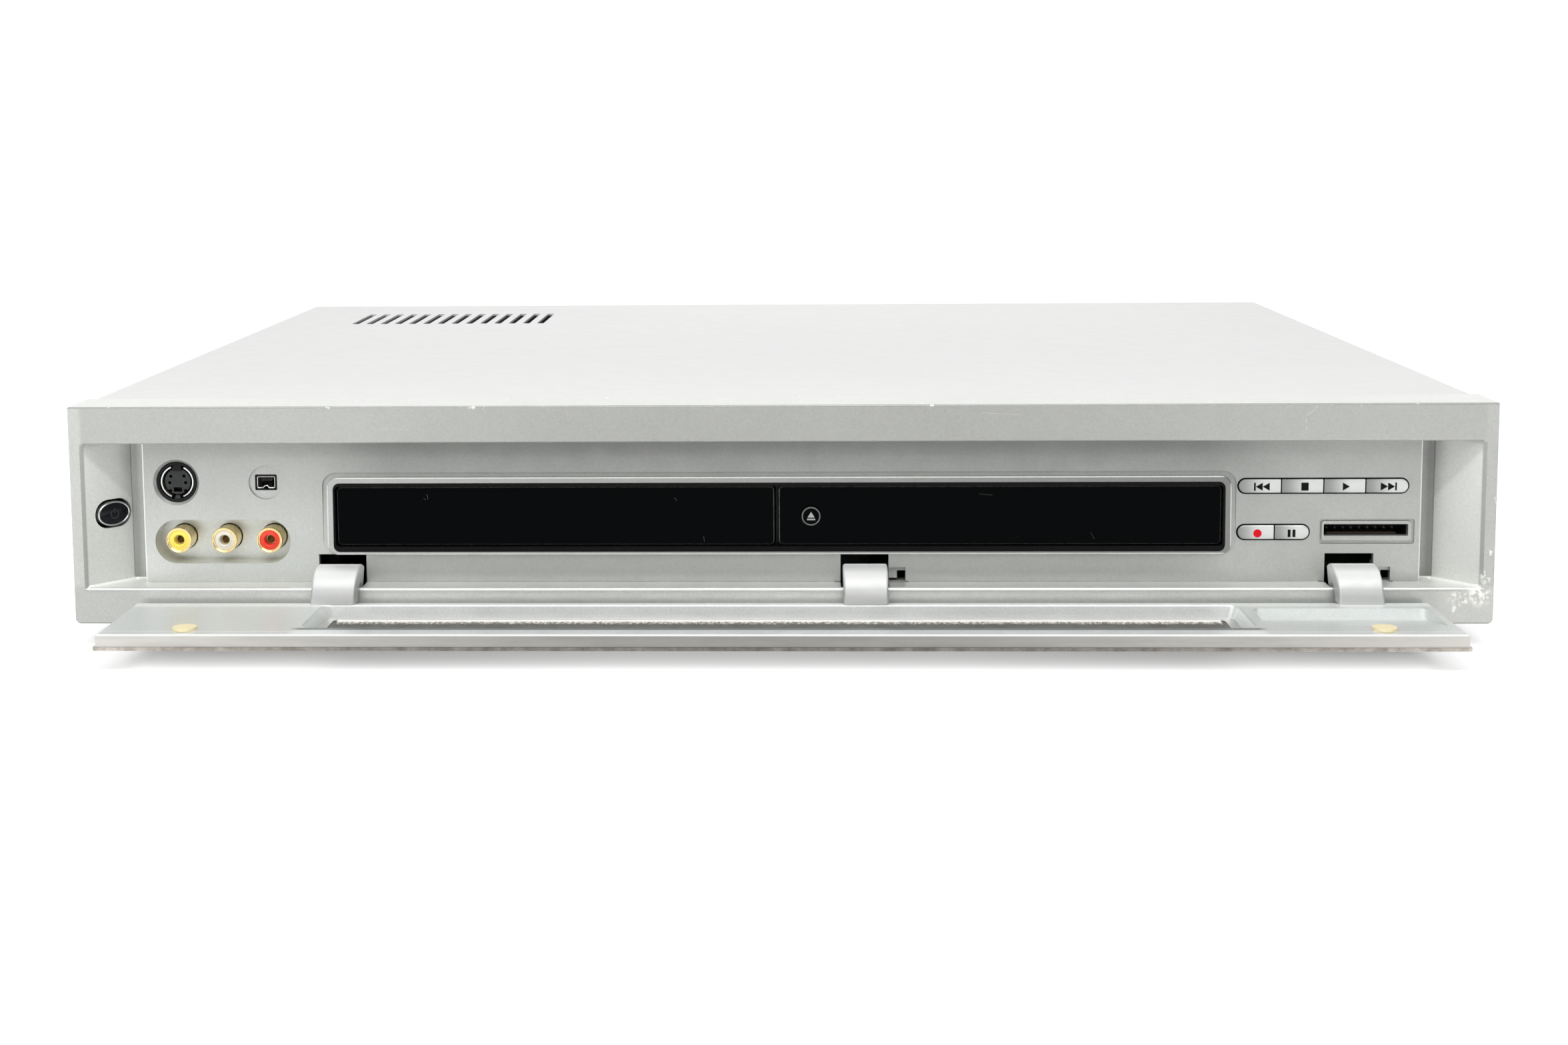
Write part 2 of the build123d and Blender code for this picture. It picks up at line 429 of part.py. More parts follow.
pads = cz(-170.0, -40.0, 3.45, FLAP_Z1, FLAP_Z1 + 0.9) + cz(172.2, -40.0, 3.45, FLAP_Z1, FLAP_Z1 + 0.9)
keep("flap_pads", pads)

# -------------------------------------------------------- chassis and cover
ch = bx(-212.7, 212.7, BEZEL_D, BODY_D - 1.0, FOOT_H, FOOT_H + 1.0)
for s in (-1, 1):
    ch += bx(s * 212.7, s * 211.7, 20.4, BODY_D - 1.0, FOOT_H, FOOT_H + 14)
ch += bx(-211.7, 211.7, BODY_D - 2.0, BODY_D - 1.0, FOOT_H, FOOT_H + 6)
for i in range(9):
    ch -= bx(-196 + 8 * i, -192.5 + 8 * i, 240, 290, 0, 12)
keep("bottom_chassis", ch)

cov = bx(-COVER_X, COVER_X, BEZEL_D + 0.1, BODY_D + 1.5, FOOT_H + 0.2, COVER_Z)
cov = fillet(cov.edges().filter_by(Axis.Y).group_by(Axis.Z)[-1], 1.6)
inner = bx(-COVER_X + SHEET, COVER_X - SHEET, 0, BODY_D + 10, 0, COVER_Z - SHEET)
inner = fillet(inner.edges().filter_by(Axis.Y).group_by(Axis.Z)[-1], 0.9)
cov -= inner
for i in range(16):
    for s in (-1, 1):
        cov -= bx(s * 210, s * 220, 220 + 6.5 * i, 223 + 6.5 * i, 30, 58)
for i in range(14):
    cov -= frz(-180 + 6 * i, -177.2 + 6 * i, 262, 306, 1.3, 60, 80)
keep("top_cover", cov)

rp = bx(-212.9, 212.9, BODY_D - 1.0, BODY_D, FOOT_H + 1.2, COVER_Z - SHEET - 0.3)
FAN_C = (-60.0, 40.0)
FAN_R = 24.0
for i in range(-3, 4):
    hw = sqrt(22.5 ** 2 - (i * 6.0) ** 2) if abs(i * 6.0) < 22.5 else 0
    if hw > 3:
        rp -= bx(FAN_C[0] - hw, FAN_C[0] + hw, 330, 350, FAN_C[1] + i * 6.0 - 2.0, FAN_C[1] + i * 6.0 + 2.0)
INLET = (-178.0, 28.0)
rp -= frr(INLET[0] - 11.2, INLET[0] + 11.2, INLET[1] - 7.2, INLET[1] + 7.2, 1.0, 330, 350)
rp -= bx(29.8, 150.2, 330, 350, 23.8, 54.2)
rp -= bx(163.8, 196.2, 330, 350, 23.8, 54.2)
keep("rear_panel", rp)

rj = bx(30, 150, 326, BODY_D + 1.6, 24, 54)
for i in range(6):
    for zz in (31.5, 46.5):
        xx = 40 + 20 * i
        rj += cy(xx, zz, 4.1, BODY_D, REAR_OUT)
        rj -= cy(xx, zz, 1.7, BODY_D - 6, REAR_OUT + 1)
keep("rear_jacks", rj)
tn = bx(164, 196, 290, BODY_D + 0.6, 24, 54)
for zz in (32, 46):
    tn += cy(180, zz, 4.7, BODY_D, REAR_OUT)
    tn -= cy(180, zz, 3.4, BODY_D - 4, REAR_OUT + 1)
keep("tuner_module", tn)
inl = frr(INLET[0] - 11.1, INLET[0] + 11.1, INLET[1] - 7.1, INLET[1] + 7.1, 1.0, 322, BODY_D + 1.2)
inl += frr(INLET[0] - 13.5, INLET[0] + 13.5, INLET[1] - 9.0, INLET[1] + 9.0, 1.5, BODY_D, BODY_D + 1.2)
inl -= front(Pos(*INLET) * SlotOverall(17.6, 9.0), 334, 350)
for s in (-1, 1):
    inl += cy(INLET[0] + s * 3.3, INLET[1], 1.15, 330, BODY_D - 1.5)
keep("mains_inlet", inl)

feet = None
for sx in (-1, 1):
    for yy in (46.0, 312.0):
        f = cz(sx * 178.0, yy, 17.0, 0.0, FOOT_H)
        f = chamfer(f.faces().sort_by(Axis.Z)[0].edges(), 1.5)
        f -= cz(sx * 178.0, yy, 4.0, -1, 2.5)
        feet = f if feet is None else feet + f
keep("feet", feet)

scr = None
for yy in (60.0, 190.0):
    for s in (-1, 1):
        h_ = cx(yy, 15.5, 3.4, s * COVER_X, s * (COVER_X + 0.95)) 
        scr = h_ if scr is None else scr + h_
for xx in (-195.0, -10.0, 205.0):
    scr += cy(xx, 62.0, 3.2, BODY_D, BODY_D + 1.3)
keep("cover_screws", scr)

# ---------------------------------------------------------------- disc drive
DR_X0, DR_X1 = -141.0, 5.0
DR_Y0, DR_Y1 = 24.0, 212.0
dz0 = 12.0
df = bx(DR_X0, DR_X1, DR_Y0, DR_Y1, dz0, dz0 + 2.0)
df += bx(DR_X0, DR_X0 + 3.0, DR_Y0, DR_Y1, dz0, 46.0)
df += bx(DR_X1 - 3.0, DR_X1, DR_Y0, DR_Y1, dz0, 46.0)
df += bx(DR_X0, DR_X1, DR_Y1 - 3.0, DR_Y1, dz0, 46.0)
for x0, x1 in ((DR_X0 + 3.0, TRAY_XC - TRAY_W / 2 + 3.5), (TRAY_XC + TRAY_W / 2 - 3.5, DR_X1 - 3.0)):
    df += bx(x0, x1, DR_Y0 + 4, DR_Y1 - 3.0, TRAY_Z0 - 2.4, TRAY_Z0 - 0.4)
for xx in (-84.0, -52.0):
    for y0 in (90.0, 170.0):
        df += bx(xx - 3.4, xx + 3.4, y0, y0 + 4.0, dz0 + 1.5, 33.0)
        df -= cy(xx, 30.0, 1.5, y0 - 1, y0 + 5)
df -= bx(-100, -36, 60, 84, 10, 13.0)
for xx in (-120.0, -16.0):
    for yy in (40.0, 196.0):
        df += cz(xx, yy, 4.0, FOOT_H + 1.0, dz0 + 0.5)
# block that carries the spindle motor
df += bx(-86, -50, 62, 87.9, dz0 + 1.5, 20.0)
df -= cz(TRAY_XC, DISC_Y, 7.85, 19.0, 30)

tray = bx(TRAY_XC - TRAY_W / 2, TRAY_XC + TRAY_W / 2, TRAY_Y0, TRAY_Y1, TRAY_Z0, TRAY_Z1)
tray = fillet(tray.edges().filter_by(Axis.Z).group_by(Axis.Y)[-1], 5.0)
tray -= cz(TRAY_XC, DISC_Y, WELL_R, WELL_Z, 60)
tray -= cz(TRAY_XC, DISC_Y, 41.0, WELL_Z - 0.9, 60)
tray -= bx(TRAY_XC - TRAY_W / 2 + 5, TRAY_XC + TRAY_W / 2 - 5, TRAY_Y0 + 5, TRAY_Y1 - 5, TRAY_Z0 - 1, TRAY_Z0 + 1.6)
tray -= cz(TRAY_XC, DISC_Y, 19.0, 20, 60)
tray -= bx(TRAY_XC - 19.0, TRAY_XC + 19.0, DISC_Y, TRAY_Y1 + 5, 20, 60)
door = frr(DOOR_X0, DOOR_X1, PANE_Z0, PANE_Z1, 1.3, PANEL_Y + 1.7, PANEL_Y + 4.4)
keep("tray_door", door)
# toothed rack moulded under the tray's right edge, and the gear that drives it
RACK_X0, RACK_X1 = -16.0, -11.5
GEAR_R = 12.0
GEAR_X = RACK_X0 - GEAR_R - 0.9
GEAR_Y = 36.0
rack = bx(RACK_X0, RACK_X1, TRAY_Y0 + 6, TRAY_Y1 - 6, 29.0, TRAY_Z0 + 1.6)
teeth = []
pitch = 2 * pi * GEAR_R / 24
yy = TRAY_Y0 + 8.0
pts_all = []
while yy < TRAY_Y1 - 9:
    pts_all.append(yy)
    yy += pitch
for yy in pts_all:
    t = bx(RACK_X0 - 0.9, RACK_X0 + 0.1, yy - 0.55, yy + 0.55, 29.0, 32.0)
    teeth.append(t)
tray = tray.fuse(rack, *teeth)
keep("disc_tray", tray)
gear = cz(GEAR_X, GEAR_Y, GEAR_R - 1.0, 26.0, 32.0)
gear -= cz(GEAR_X, GEAR_Y, 1.55, 20, 40)
for i in range(4):
    a = radians(90 * i + 45)
    gear -= cz(GEAR_X + 6.2 * cos(a), GEAR_Y + 6.2 * sin(a), 2.6, 20, 40)
keep("loading_gear", gear)
df += cz(GEAR_X, GEAR_Y, 1.5, dz0 + 1.5, 32.5) + cz(GEAR_X, GEAR_Y, 3.2, dz0 + 1.5, 25.6)
keep("drive_frame", df)
tm = cz(-60.0, 40.0, 10.0, dz0 + 2.0, 26.0) + cz(-60.0, 40.0, 1.0, 26.0, 30.5)
keep("tray_motor", tm)

sm = cz(TRAY_XC, DISC_Y - 0.0, 7.8, 20.0, 31.0) + cz(TRAY_XC, DISC_Y, 1.2, 31.0, 37.5)
keep("spindle_motor", sm)
tt = cz(TRAY_XC, DISC_Y, 15.5, 34.8, 38.5) + cz(TRAY_XC, DISC_Y, 7.3, 38.5, 40.0) + cz(TRAY_XC, DISC_Y, 4.0, 31.6, 34.9)
tt -= cz(TRAY_XC, DISC_Y, 1.25, 30, 38.0)
keep("turntable", tt)
br = bx(DR_X0, DR_X1, DISC_Y - 22, DISC_Y + 22, 46.0, 47.2)
br -= cz(TRAY_XC, DISC_Y, 9.0, 40, 50)
for s in (-1, 1):
    br += bx(TRAY_XC + s * 40, TRAY_XC + s * 58, DISC_Y - 22, DISC_Y + 22, 47.2, 48.2)
keep("clamp_bridge", br)
cl = cz(TRAY_XC, DISC_Y, 14.0, 43.2, 45.4) + cz(TRAY_XC, DISC_Y, 8.6, 45.4, 48.4) + cz(TRAY_XC, DISC_Y, 12.0, 47.6, 49.0)
cl -= cz(TRAY_XC, DISC_Y, 5.0, 40, 47)
keep("disc_clamp", cl)

rods = cy(-84.0, 30.0, 1.5, 90.0, 174.0) + cy(-52.0, 30.0, 1.5, 90.0, 174.0)
keep("guide_rods", rods)
SLED_Y0, SLED_Y1 = 97.5, 119.5
sled = bx(-87.2, -48.8, SLED_Y0, SLED_Y1, 27.2, 33.2)
sled += cz(TRAY_XC, (SLED_Y0 + SLED_Y1) / 2, 5.0, 33.2, 35.4)
sled += cz(TRAY_XC, (SLED_Y0 + SLED_Y1) / 2, 2.4, 35.4, 35.9)
sled -= cy(-84.0, 30.0, 1.55, 80, 180)
sled -= cy(-52.0, 30.0, 1.55, 80, 180)
keep("pickup_sled", sled)

# ------------------------------------------------------------- electronics
mb = bx(30, 205, 40, 280, 16.0, 17.6)
for xx in (38, 197):
    for yy in (50, 160, 270):
        mb += cz(xx, yy, 3.0, FOOT_H + 1.0, 16.0)
keep("main_board", mb)
mp = None
for (x0, x1, y0, y1, h) in ((60, 92, 120, 152, 2.6), (110, 138, 120, 148, 2.6), (70, 92, 180, 202, 2.0), (120, 160, 190, 216, 2.4),
                            (170, 184, 90, 130, 6.0), (45, 52, 230, 268, 8.0), (100, 140, 60, 72, 7.0)):
    b = bx(x0, x1, y0, y1, 17.6, 17.6 + h)
    mp = b if mp is None else mp + b
for (xx, yy, r, h) in ((60, 90, 4, 10), (75, 92, 4, 10), (185, 160, 5, 12), (185, 180, 5, 12), (50, 200, 3.2, 8)):
    mp += cz(xx, yy, r, 17.6, 17.6 + h)
keep("main_board_parts", mp)
pbd = bx(-206, -150, 60, 316, 16.0, 17.6)
for xx in (-200, -156):
    for yy in (70, 190, 306):
        pbd += cz(xx, yy, 3.0, FOOT_H + 1.0, 16.0)
keep("power_board", pbd)
pp = bx(-192, -158, 150, 184, 17.6, 45.0) + bx(-204, -201, 100, 230, 17.6, 48.0) + bx(-200, -178, 280, 300, 17.6, 36.0)
for (xx, yy, r, h) in ((-170, 250, 11, 32), (-165, 120, 6.5, 22), (-182, 120, 6.5, 22), (-165, 95, 5, 18), (-182, 95, 5, 18)):
    pp += cz(xx, yy, r, 17.6, 17.6 + h)
keep("power_parts", pp)

# fan
fan = frr(FAN_C[0] - 25, FAN_C[0] + 25, FAN_C[1] - 25, FAN_C[1] + 25, 2.5, BODY_D - 16.0, BODY_D - 1.0)
fan -= cy(*FAN_C, FAN_R, 300, 360)
for i in range(3):
    a = radians(120 * i + 90)
    ca, sa = cos(a), sin(a)
    strut = Pos(FAN_C[0] + 14 * ca, BODY_D - 14.6, FAN_C[1] + 14 * sa) * Rot(0, -degrees(a), 0) * Box(24, 2.4, 2.4)
    fan += strut
fan += cy(*FAN_C, 9.0, BODY_D - 16.0, BODY_D - 13.0)
fan += cy(*FAN_C, 1.5, BODY_D - 13.0, BODY_D - 4.0)
keep("fan_frame", fan)
rot = cy(*FAN_C, 9.0, BODY_D - 12.4, BODY_D - 3.0)
rot -= cy(*FAN_C, 1.55, 320, BODY_D - 3.8)
for i in range(7):
    a = 360.0 / 7 * i
    blade = Rot(0, -a, 0) * Pos(15.5, 0, 0) * Rot(38, 0, 0) * Box(15.0, 1.2, 9.5)
    rot += Pos(FAN_C[0], BODY_D - 7.8, FAN_C[1]) * blade
keep("fan_rotor", rot)

# ------------------------------------------------------------------- output
if __name__ == "__main__":
    os.makedirs("parts", exist_ok=True)
    for name, shape in PARTS.items():
        moved = Pos(0, SHIFT_Y, 0) * shape
        export_step(moved, "parts/" + name + ".step")
    bb = Compound(children=[Pos(0, SHIFT_Y, 0) * s for s in PARTS.values()]).bounding_box()
    print(len(PARTS), "nodes", bb.min, bb.max, "shift", SHIFT_Y)
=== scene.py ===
import math
import bmesh
import bpy
from mathutils import Matrix, Vector


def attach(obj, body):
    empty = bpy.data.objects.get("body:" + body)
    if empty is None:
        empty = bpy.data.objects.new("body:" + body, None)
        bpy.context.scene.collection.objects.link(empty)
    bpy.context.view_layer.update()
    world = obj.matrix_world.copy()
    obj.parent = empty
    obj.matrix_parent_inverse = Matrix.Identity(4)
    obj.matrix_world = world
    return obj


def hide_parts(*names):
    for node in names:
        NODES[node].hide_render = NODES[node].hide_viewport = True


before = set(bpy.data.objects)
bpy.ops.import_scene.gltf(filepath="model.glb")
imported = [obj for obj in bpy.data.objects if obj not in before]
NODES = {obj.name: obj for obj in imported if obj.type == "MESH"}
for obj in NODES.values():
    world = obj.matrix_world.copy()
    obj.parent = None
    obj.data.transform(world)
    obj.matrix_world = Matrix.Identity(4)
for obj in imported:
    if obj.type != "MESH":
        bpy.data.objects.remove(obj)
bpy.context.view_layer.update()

SHIFT_Y = -153.3          # the drawing's front plane is y = 0, and its floor z = 0, in millimetres


def P(x, y, z):
    """A point of the drawing, in millimetres, as a point of the shared frame, in metres."""
    return Vector((x / 1000.0, (y + SHIFT_Y) / 1000.0, z / 1000.0))


# ------------------------------------------------------------------ node trees
class Tree:
    """Short calls for a material's node tree."""

    def __init__(self, name):
        self.mat = bpy.data.materials.new(name)
        self.mat.use_nodes = True
        self.nt = self.mat.node_tree
        self.nt.nodes.clear()
        self.out = self.nt.nodes.new("ShaderNodeOutputMaterial")
        self.b = self.nt.nodes.new("ShaderNodeBsdfPrincipled")
        self.nt.links.new(self.b.outputs[0], self.out.inputs[0])
        self.tc = self.nt.nodes.new("ShaderNodeTexCoord")
        self.obj = self.tc.outputs["Object"]

    def link(self, a, b):
        self.nt.links.new(a, b)

    def put(self, sock, v):
        if isinstance(v, bpy.types.NodeSocket):
            self.nt.links.new(v, sock)
        elif isinstance(v, (tuple, list)) and len(v) == 3 and sock.type == "RGBA":
            sock.default_value = (v[0], v[1], v[2], 1.0)
        else:
            sock.default_value = v

    def math(self, op, a, b=0.0, c=0.0, clamp=False):
        n = self.nt.nodes.new("ShaderNodeMath")
        n.operation = op
        n.use_clamp = clamp
        self.put(n.inputs[0], a)
        self.put(n.inputs[1], b)
        self.put(n.inputs[2], c)
        return n.outputs[0]

    def xyz(self, v=None):
        n = self.nt.nodes.new("ShaderNodeSeparateXYZ")
        self.put(n.inputs[0], self.obj if v is None else v)
        return n.outputs

    def scaled(self, sx, sy, sz, off=(0, 0, 0), v=None, rot=(0, 0, 0)):
        n = self.nt.nodes.new("ShaderNodeMapping")
        self.put(n.inputs[0], self.obj if v is None else v)
        n.inputs["Location"].default_value = off
        n.inputs["Rotation"].default_value = rot
        n.inputs["Scale"].default_value = (sx, sy, sz)
        return n.outputs[0]

    def noise(self, scale, detail=2.0, rough=0.5, v=None, dist=0.0):
        n = self.nt.nodes.new("ShaderNodeTexNoise")
        self.put(n.inputs["Vector"], self.obj if v is None else v)
        n.inputs["Scale"].default_value = scale
        n.inputs["Detail"].default_value = detail
        n.inputs["Roughness"].default_value = rough
        n.inputs["Distortion"].default_value = dist
        return n.outputs["Fac"]

    def voronoi(self, scale, feature="F1", v=None, rand=1.0):
        n = self.nt.nodes.new("ShaderNodeTexVoronoi")
        n.feature = feature
        self.put(n.inputs["Vector"], self.obj if v is None else v)
        n.inputs["Scale"].default_value = scale
        n.inputs["Randomness"].default_value = rand
        return n.outputs

    def wave(self, scale, v=None, dist=0.0, direction="X", profile="SIN"):
        n = self.nt.nodes.new("ShaderNodeTexWave")
        n.bands_direction = direction
        n.wave_profile = profile
        self.put(n.inputs["Vector"], self.obj if v is None else v)
        n.inputs["Scale"].default_value = scale
        n.inputs["Distortion"].default_value = dist
        return n.outputs["Fac"]

    def remap(self, v, a, b, c=0.0, d=1.0, smooth=False):
        n = self.nt.nodes.new("ShaderNodeMapRange")
        if smooth:
            n.interpolation_type = "SMOOTHSTEP"
        self.put(n.inputs[0], v)
        n.inputs[1].default_value = a
        n.inputs[2].default_value = b
        n.inputs[3].default_value = c
        n.inputs[4].default_value = d
        return n.outputs[0]

    def ramp(self, v, stops):
        n = self.nt.nodes.new("ShaderNodeValToRGB")
        self.put(n.inputs[0], v)
        r = n.color_ramp
        while len(r.elements) > 1:
            r.elements.remove(r.elements[-1])
        for i, (p, c) in enumerate(stops):
            e = r.elements[0] if i == 0 else r.elements.new(p)
            e.position = p
            e.color = (c[0], c[1], c[2], 1.0)
        return n.outputs[0]

    def mix(self, f, a, b, blend="MIX"):
        n = self.nt.nodes.new("ShaderNodeMix")
        n.data_type = "RGBA"
        n.blend_type = blend
        self.put(n.inputs[0], f)
        self.put(n.inputs[6], a)
        self.put(n.inputs[7], b)
        return n.outputs[2]

    def mixf(self, f, a, b):
        n = self.nt.nodes.new("ShaderNodeMix")
        n.data_type = "FLOAT"
        self.put(n.inputs[0], f)
        self.put(n.inputs[2], a)
        self.put(n.inputs[3], b)
        return n.outputs[0]

    def bump(self, h, strength, dist=0.001):
        n = self.nt.nodes.new("ShaderNodeBump")
        n.inputs["Strength"].default_value = strength
        n.inputs["Distance"].default_value = dist
        self.put(n.inputs["Height"], h)
        self.link(n.outputs[0], self.b.inputs["Normal"])

    def near(self, x, z, rx, rz, soft=0.4):
        """1 inside an ellipse of the front view, in millimetres, falling to 0 at its edge."""
        X, _, Z = self.xyz()
        dx = self.math("DIVIDE", self.math("SUBTRACT", X, x / 1000.0), rx / 1000.0)
        dz = self.math("DIVIDE", self.math("SUBTRACT", Z, z / 1000.0), rz / 1000.0)
        d = self.math("SQRT", self.math("ADD", self.math("MULTIPLY", dx, dx), self.math("MULTIPLY", dz, dz)))
        return self.remap(d, 1.0, 1.0 - soft, 0.0, 1.0, True)

    def set(self, **k):
        names = {"rough": "Roughness", "metal": "Metallic", "coat": "Coat Weight", "coat_rough": "Coat Roughness",
                 "spec": "Specular IOR Level", "ior": "IOR", "color": "Base Color", "trans": "Transmission Weight",
                 "emit": "Emission Strength", "emit_color": "Emission Color", "sheen": "Sheen Weight", "alpha": "Alpha"}
        for a, v in k.items():
            self.put(self.b.inputs[names[a]], v)
        return self


def mul(c, k):
    return tuple(min(1.0, v * k) for v in c)


def scale_color(t, c, f):
    n = t.nt.nodes.new("ShaderNodeVectorMath")
    n.operation = "SCALE"
    t.put(n.inputs[0], c)
    t.put(n.inputs["Scale"], f)
    return n.outputs[0]


def band(t, v, a, b, soft=0.25):
    """1 where v lies between a and b (millimetres in the frame, scaled here), with soft ends."""
    k = 0.001
    up = t.remap(v, (a - soft) * k, (a + soft) * k, 0.0, 1.0)
    dn = t.remap(v, (b - soft) * k, (b + soft) * k, 1.0, 0.0)
    return t.math("MULTIPLY", up, dn)


def yy(y):
    """A drawing depth as a frame depth, both in millimetres."""
    return y + SHIFT_Y


def specks(t, scale, size, keep):
    """Sparse round specks: 1 on a speck."""
    v = t.voronoi(scale)
    dot = t.remap(v["Distance"], size * 0.6, size, 1.0, 0.0)
    n = t.nt.nodes.new("ShaderNodeSeparateColor")
    t.link(v["Color"], n.inputs[0])
    return t.math("MULTIPLY", dot, t.math("GREATER_THAN", n.outputs[0], 1.0 - keep))


def scratch(t, x0, z0, x1, z1, w):
    """1 along a fine straight mark of the front view, in millimetres."""
    X, _, Z = t.xyz()
    dx, dz = (x1 - x0) / 1000.0, (z1 - z0) / 1000.0
    px = t.math("SUBTRACT", X, x0 / 1000.0)
    pz = t.math("SUBTRACT", Z, z0 / 1000.0)
    L2 = dx * dx + dz * dz
    u = t.math("DIVIDE", t.math("ADD", t.math("MULTIPLY", px, dx), t.math("MULTIPLY", pz, dz)), L2, clamp=True)
    ex = t.math("SUBTRACT", px, t.math("MULTIPLY", u, dx))
    ez = t.math("SUBTRACT", pz, t.math("MULTIPLY", u, dz))
    d = t.math("SQRT", t.math("ADD", t.math("MULTIPLY", ex, ex), t.math("MULTIPLY", ez, ez)))
    return t.remap(d, w / 1000.0, w * 0.4 / 1000.0, 0.0, 1.0)


def paint(name, col, rough=0.42, metal=0.35, grain=0.06, blotch=0.025, bump=0.05, extra=None, coarse=0.035):
    """Metallic paint on moulded plastic: flake at two sizes, slow change of tone, a little orange peel."""
    t = Tree(name)
    g = t.noise(2600, 2.0, 0.6)
    g2 = t.noise(1100, 2.0, 0.6)
    s = t.noise(22, 3.0, 0.55)
    f = t.math("ADD", t.remap(g, 0.3, 0.7, -grain, grain), t.remap(s, 0.3, 0.7, -blotch, blotch))
    f = t.math("ADD", f, t.remap(g2, 0.3, 0.7, -coarse, coarse))
    f = t.math("ADD", f, 1.0)
    c = scale_color(t, t.mix(s, col, mul(col, 0.985)), f)
    r = t.remap(t.noise(140, 3.0, 0.6), 0.3, 0.7, rough - 0.05, rough + 0.05)
    if extra:
        c, r = extra(t, c, r)
    t.set(color=c, rough=r, metal=metal)
    t.bump(t.noise(900, 2.0, 0.5), bump, 0.0002)
    return t.mat


def plastic(name, col, rough=0.5, spec=0.4, grain=0.12, scale=700, bump=0.15, metal=0.0, dust=0.0):
    """Moulded plastic or rubber with a fine moulded texture."""
    t = Tree(name)
    g = t.noise(scale, 3.0, 0.6)
    c = t.mix(t.remap(g, 0.3, 0.7, 0.0, 1.0), mul(col, 1.0 - grain), mul(col, 1.0 + grain))
    if dust:
        d = t.remap(t.noise(420, 4.0, 0.7), 0.62, 0.74, 0.0, dust)
        c = t.mix(d, c, (0.35, 0.34, 0.32))
    t.set(color=c, rough=t.remap(t.noise(160, 3.0, 0.6), 0.3, 0.7, rough - 0.07, rough + 0.07), spec=spec, metal=metal)
    t.bump(g, bump, 0.0002)
    return t.mat


def metal(name, col, rough=0.3, brushed=None, grain=0.06, bump=0.05):
    t = Tree(name)
    if brushed:
        g = t.noise(1.0, 2.0, 0.6, v=t.scaled(*brushed))
    else:
        g = t.noise(500, 3.0, 0.6)
    c = t.mix(t.remap(g, 0.3, 0.7, 0.0, 1.0), mul(col, 1 - grain), mul(col, 1 + grain))
    t.set(color=c, rough=t.remap(g, 0.3, 0.7, rough - 0.06, rough + 0.06), metal=1.0)
    t.bump(g, bump, 0.0002)
    return t.mat


# ------------------------------------------------------------------- materials
M = {}


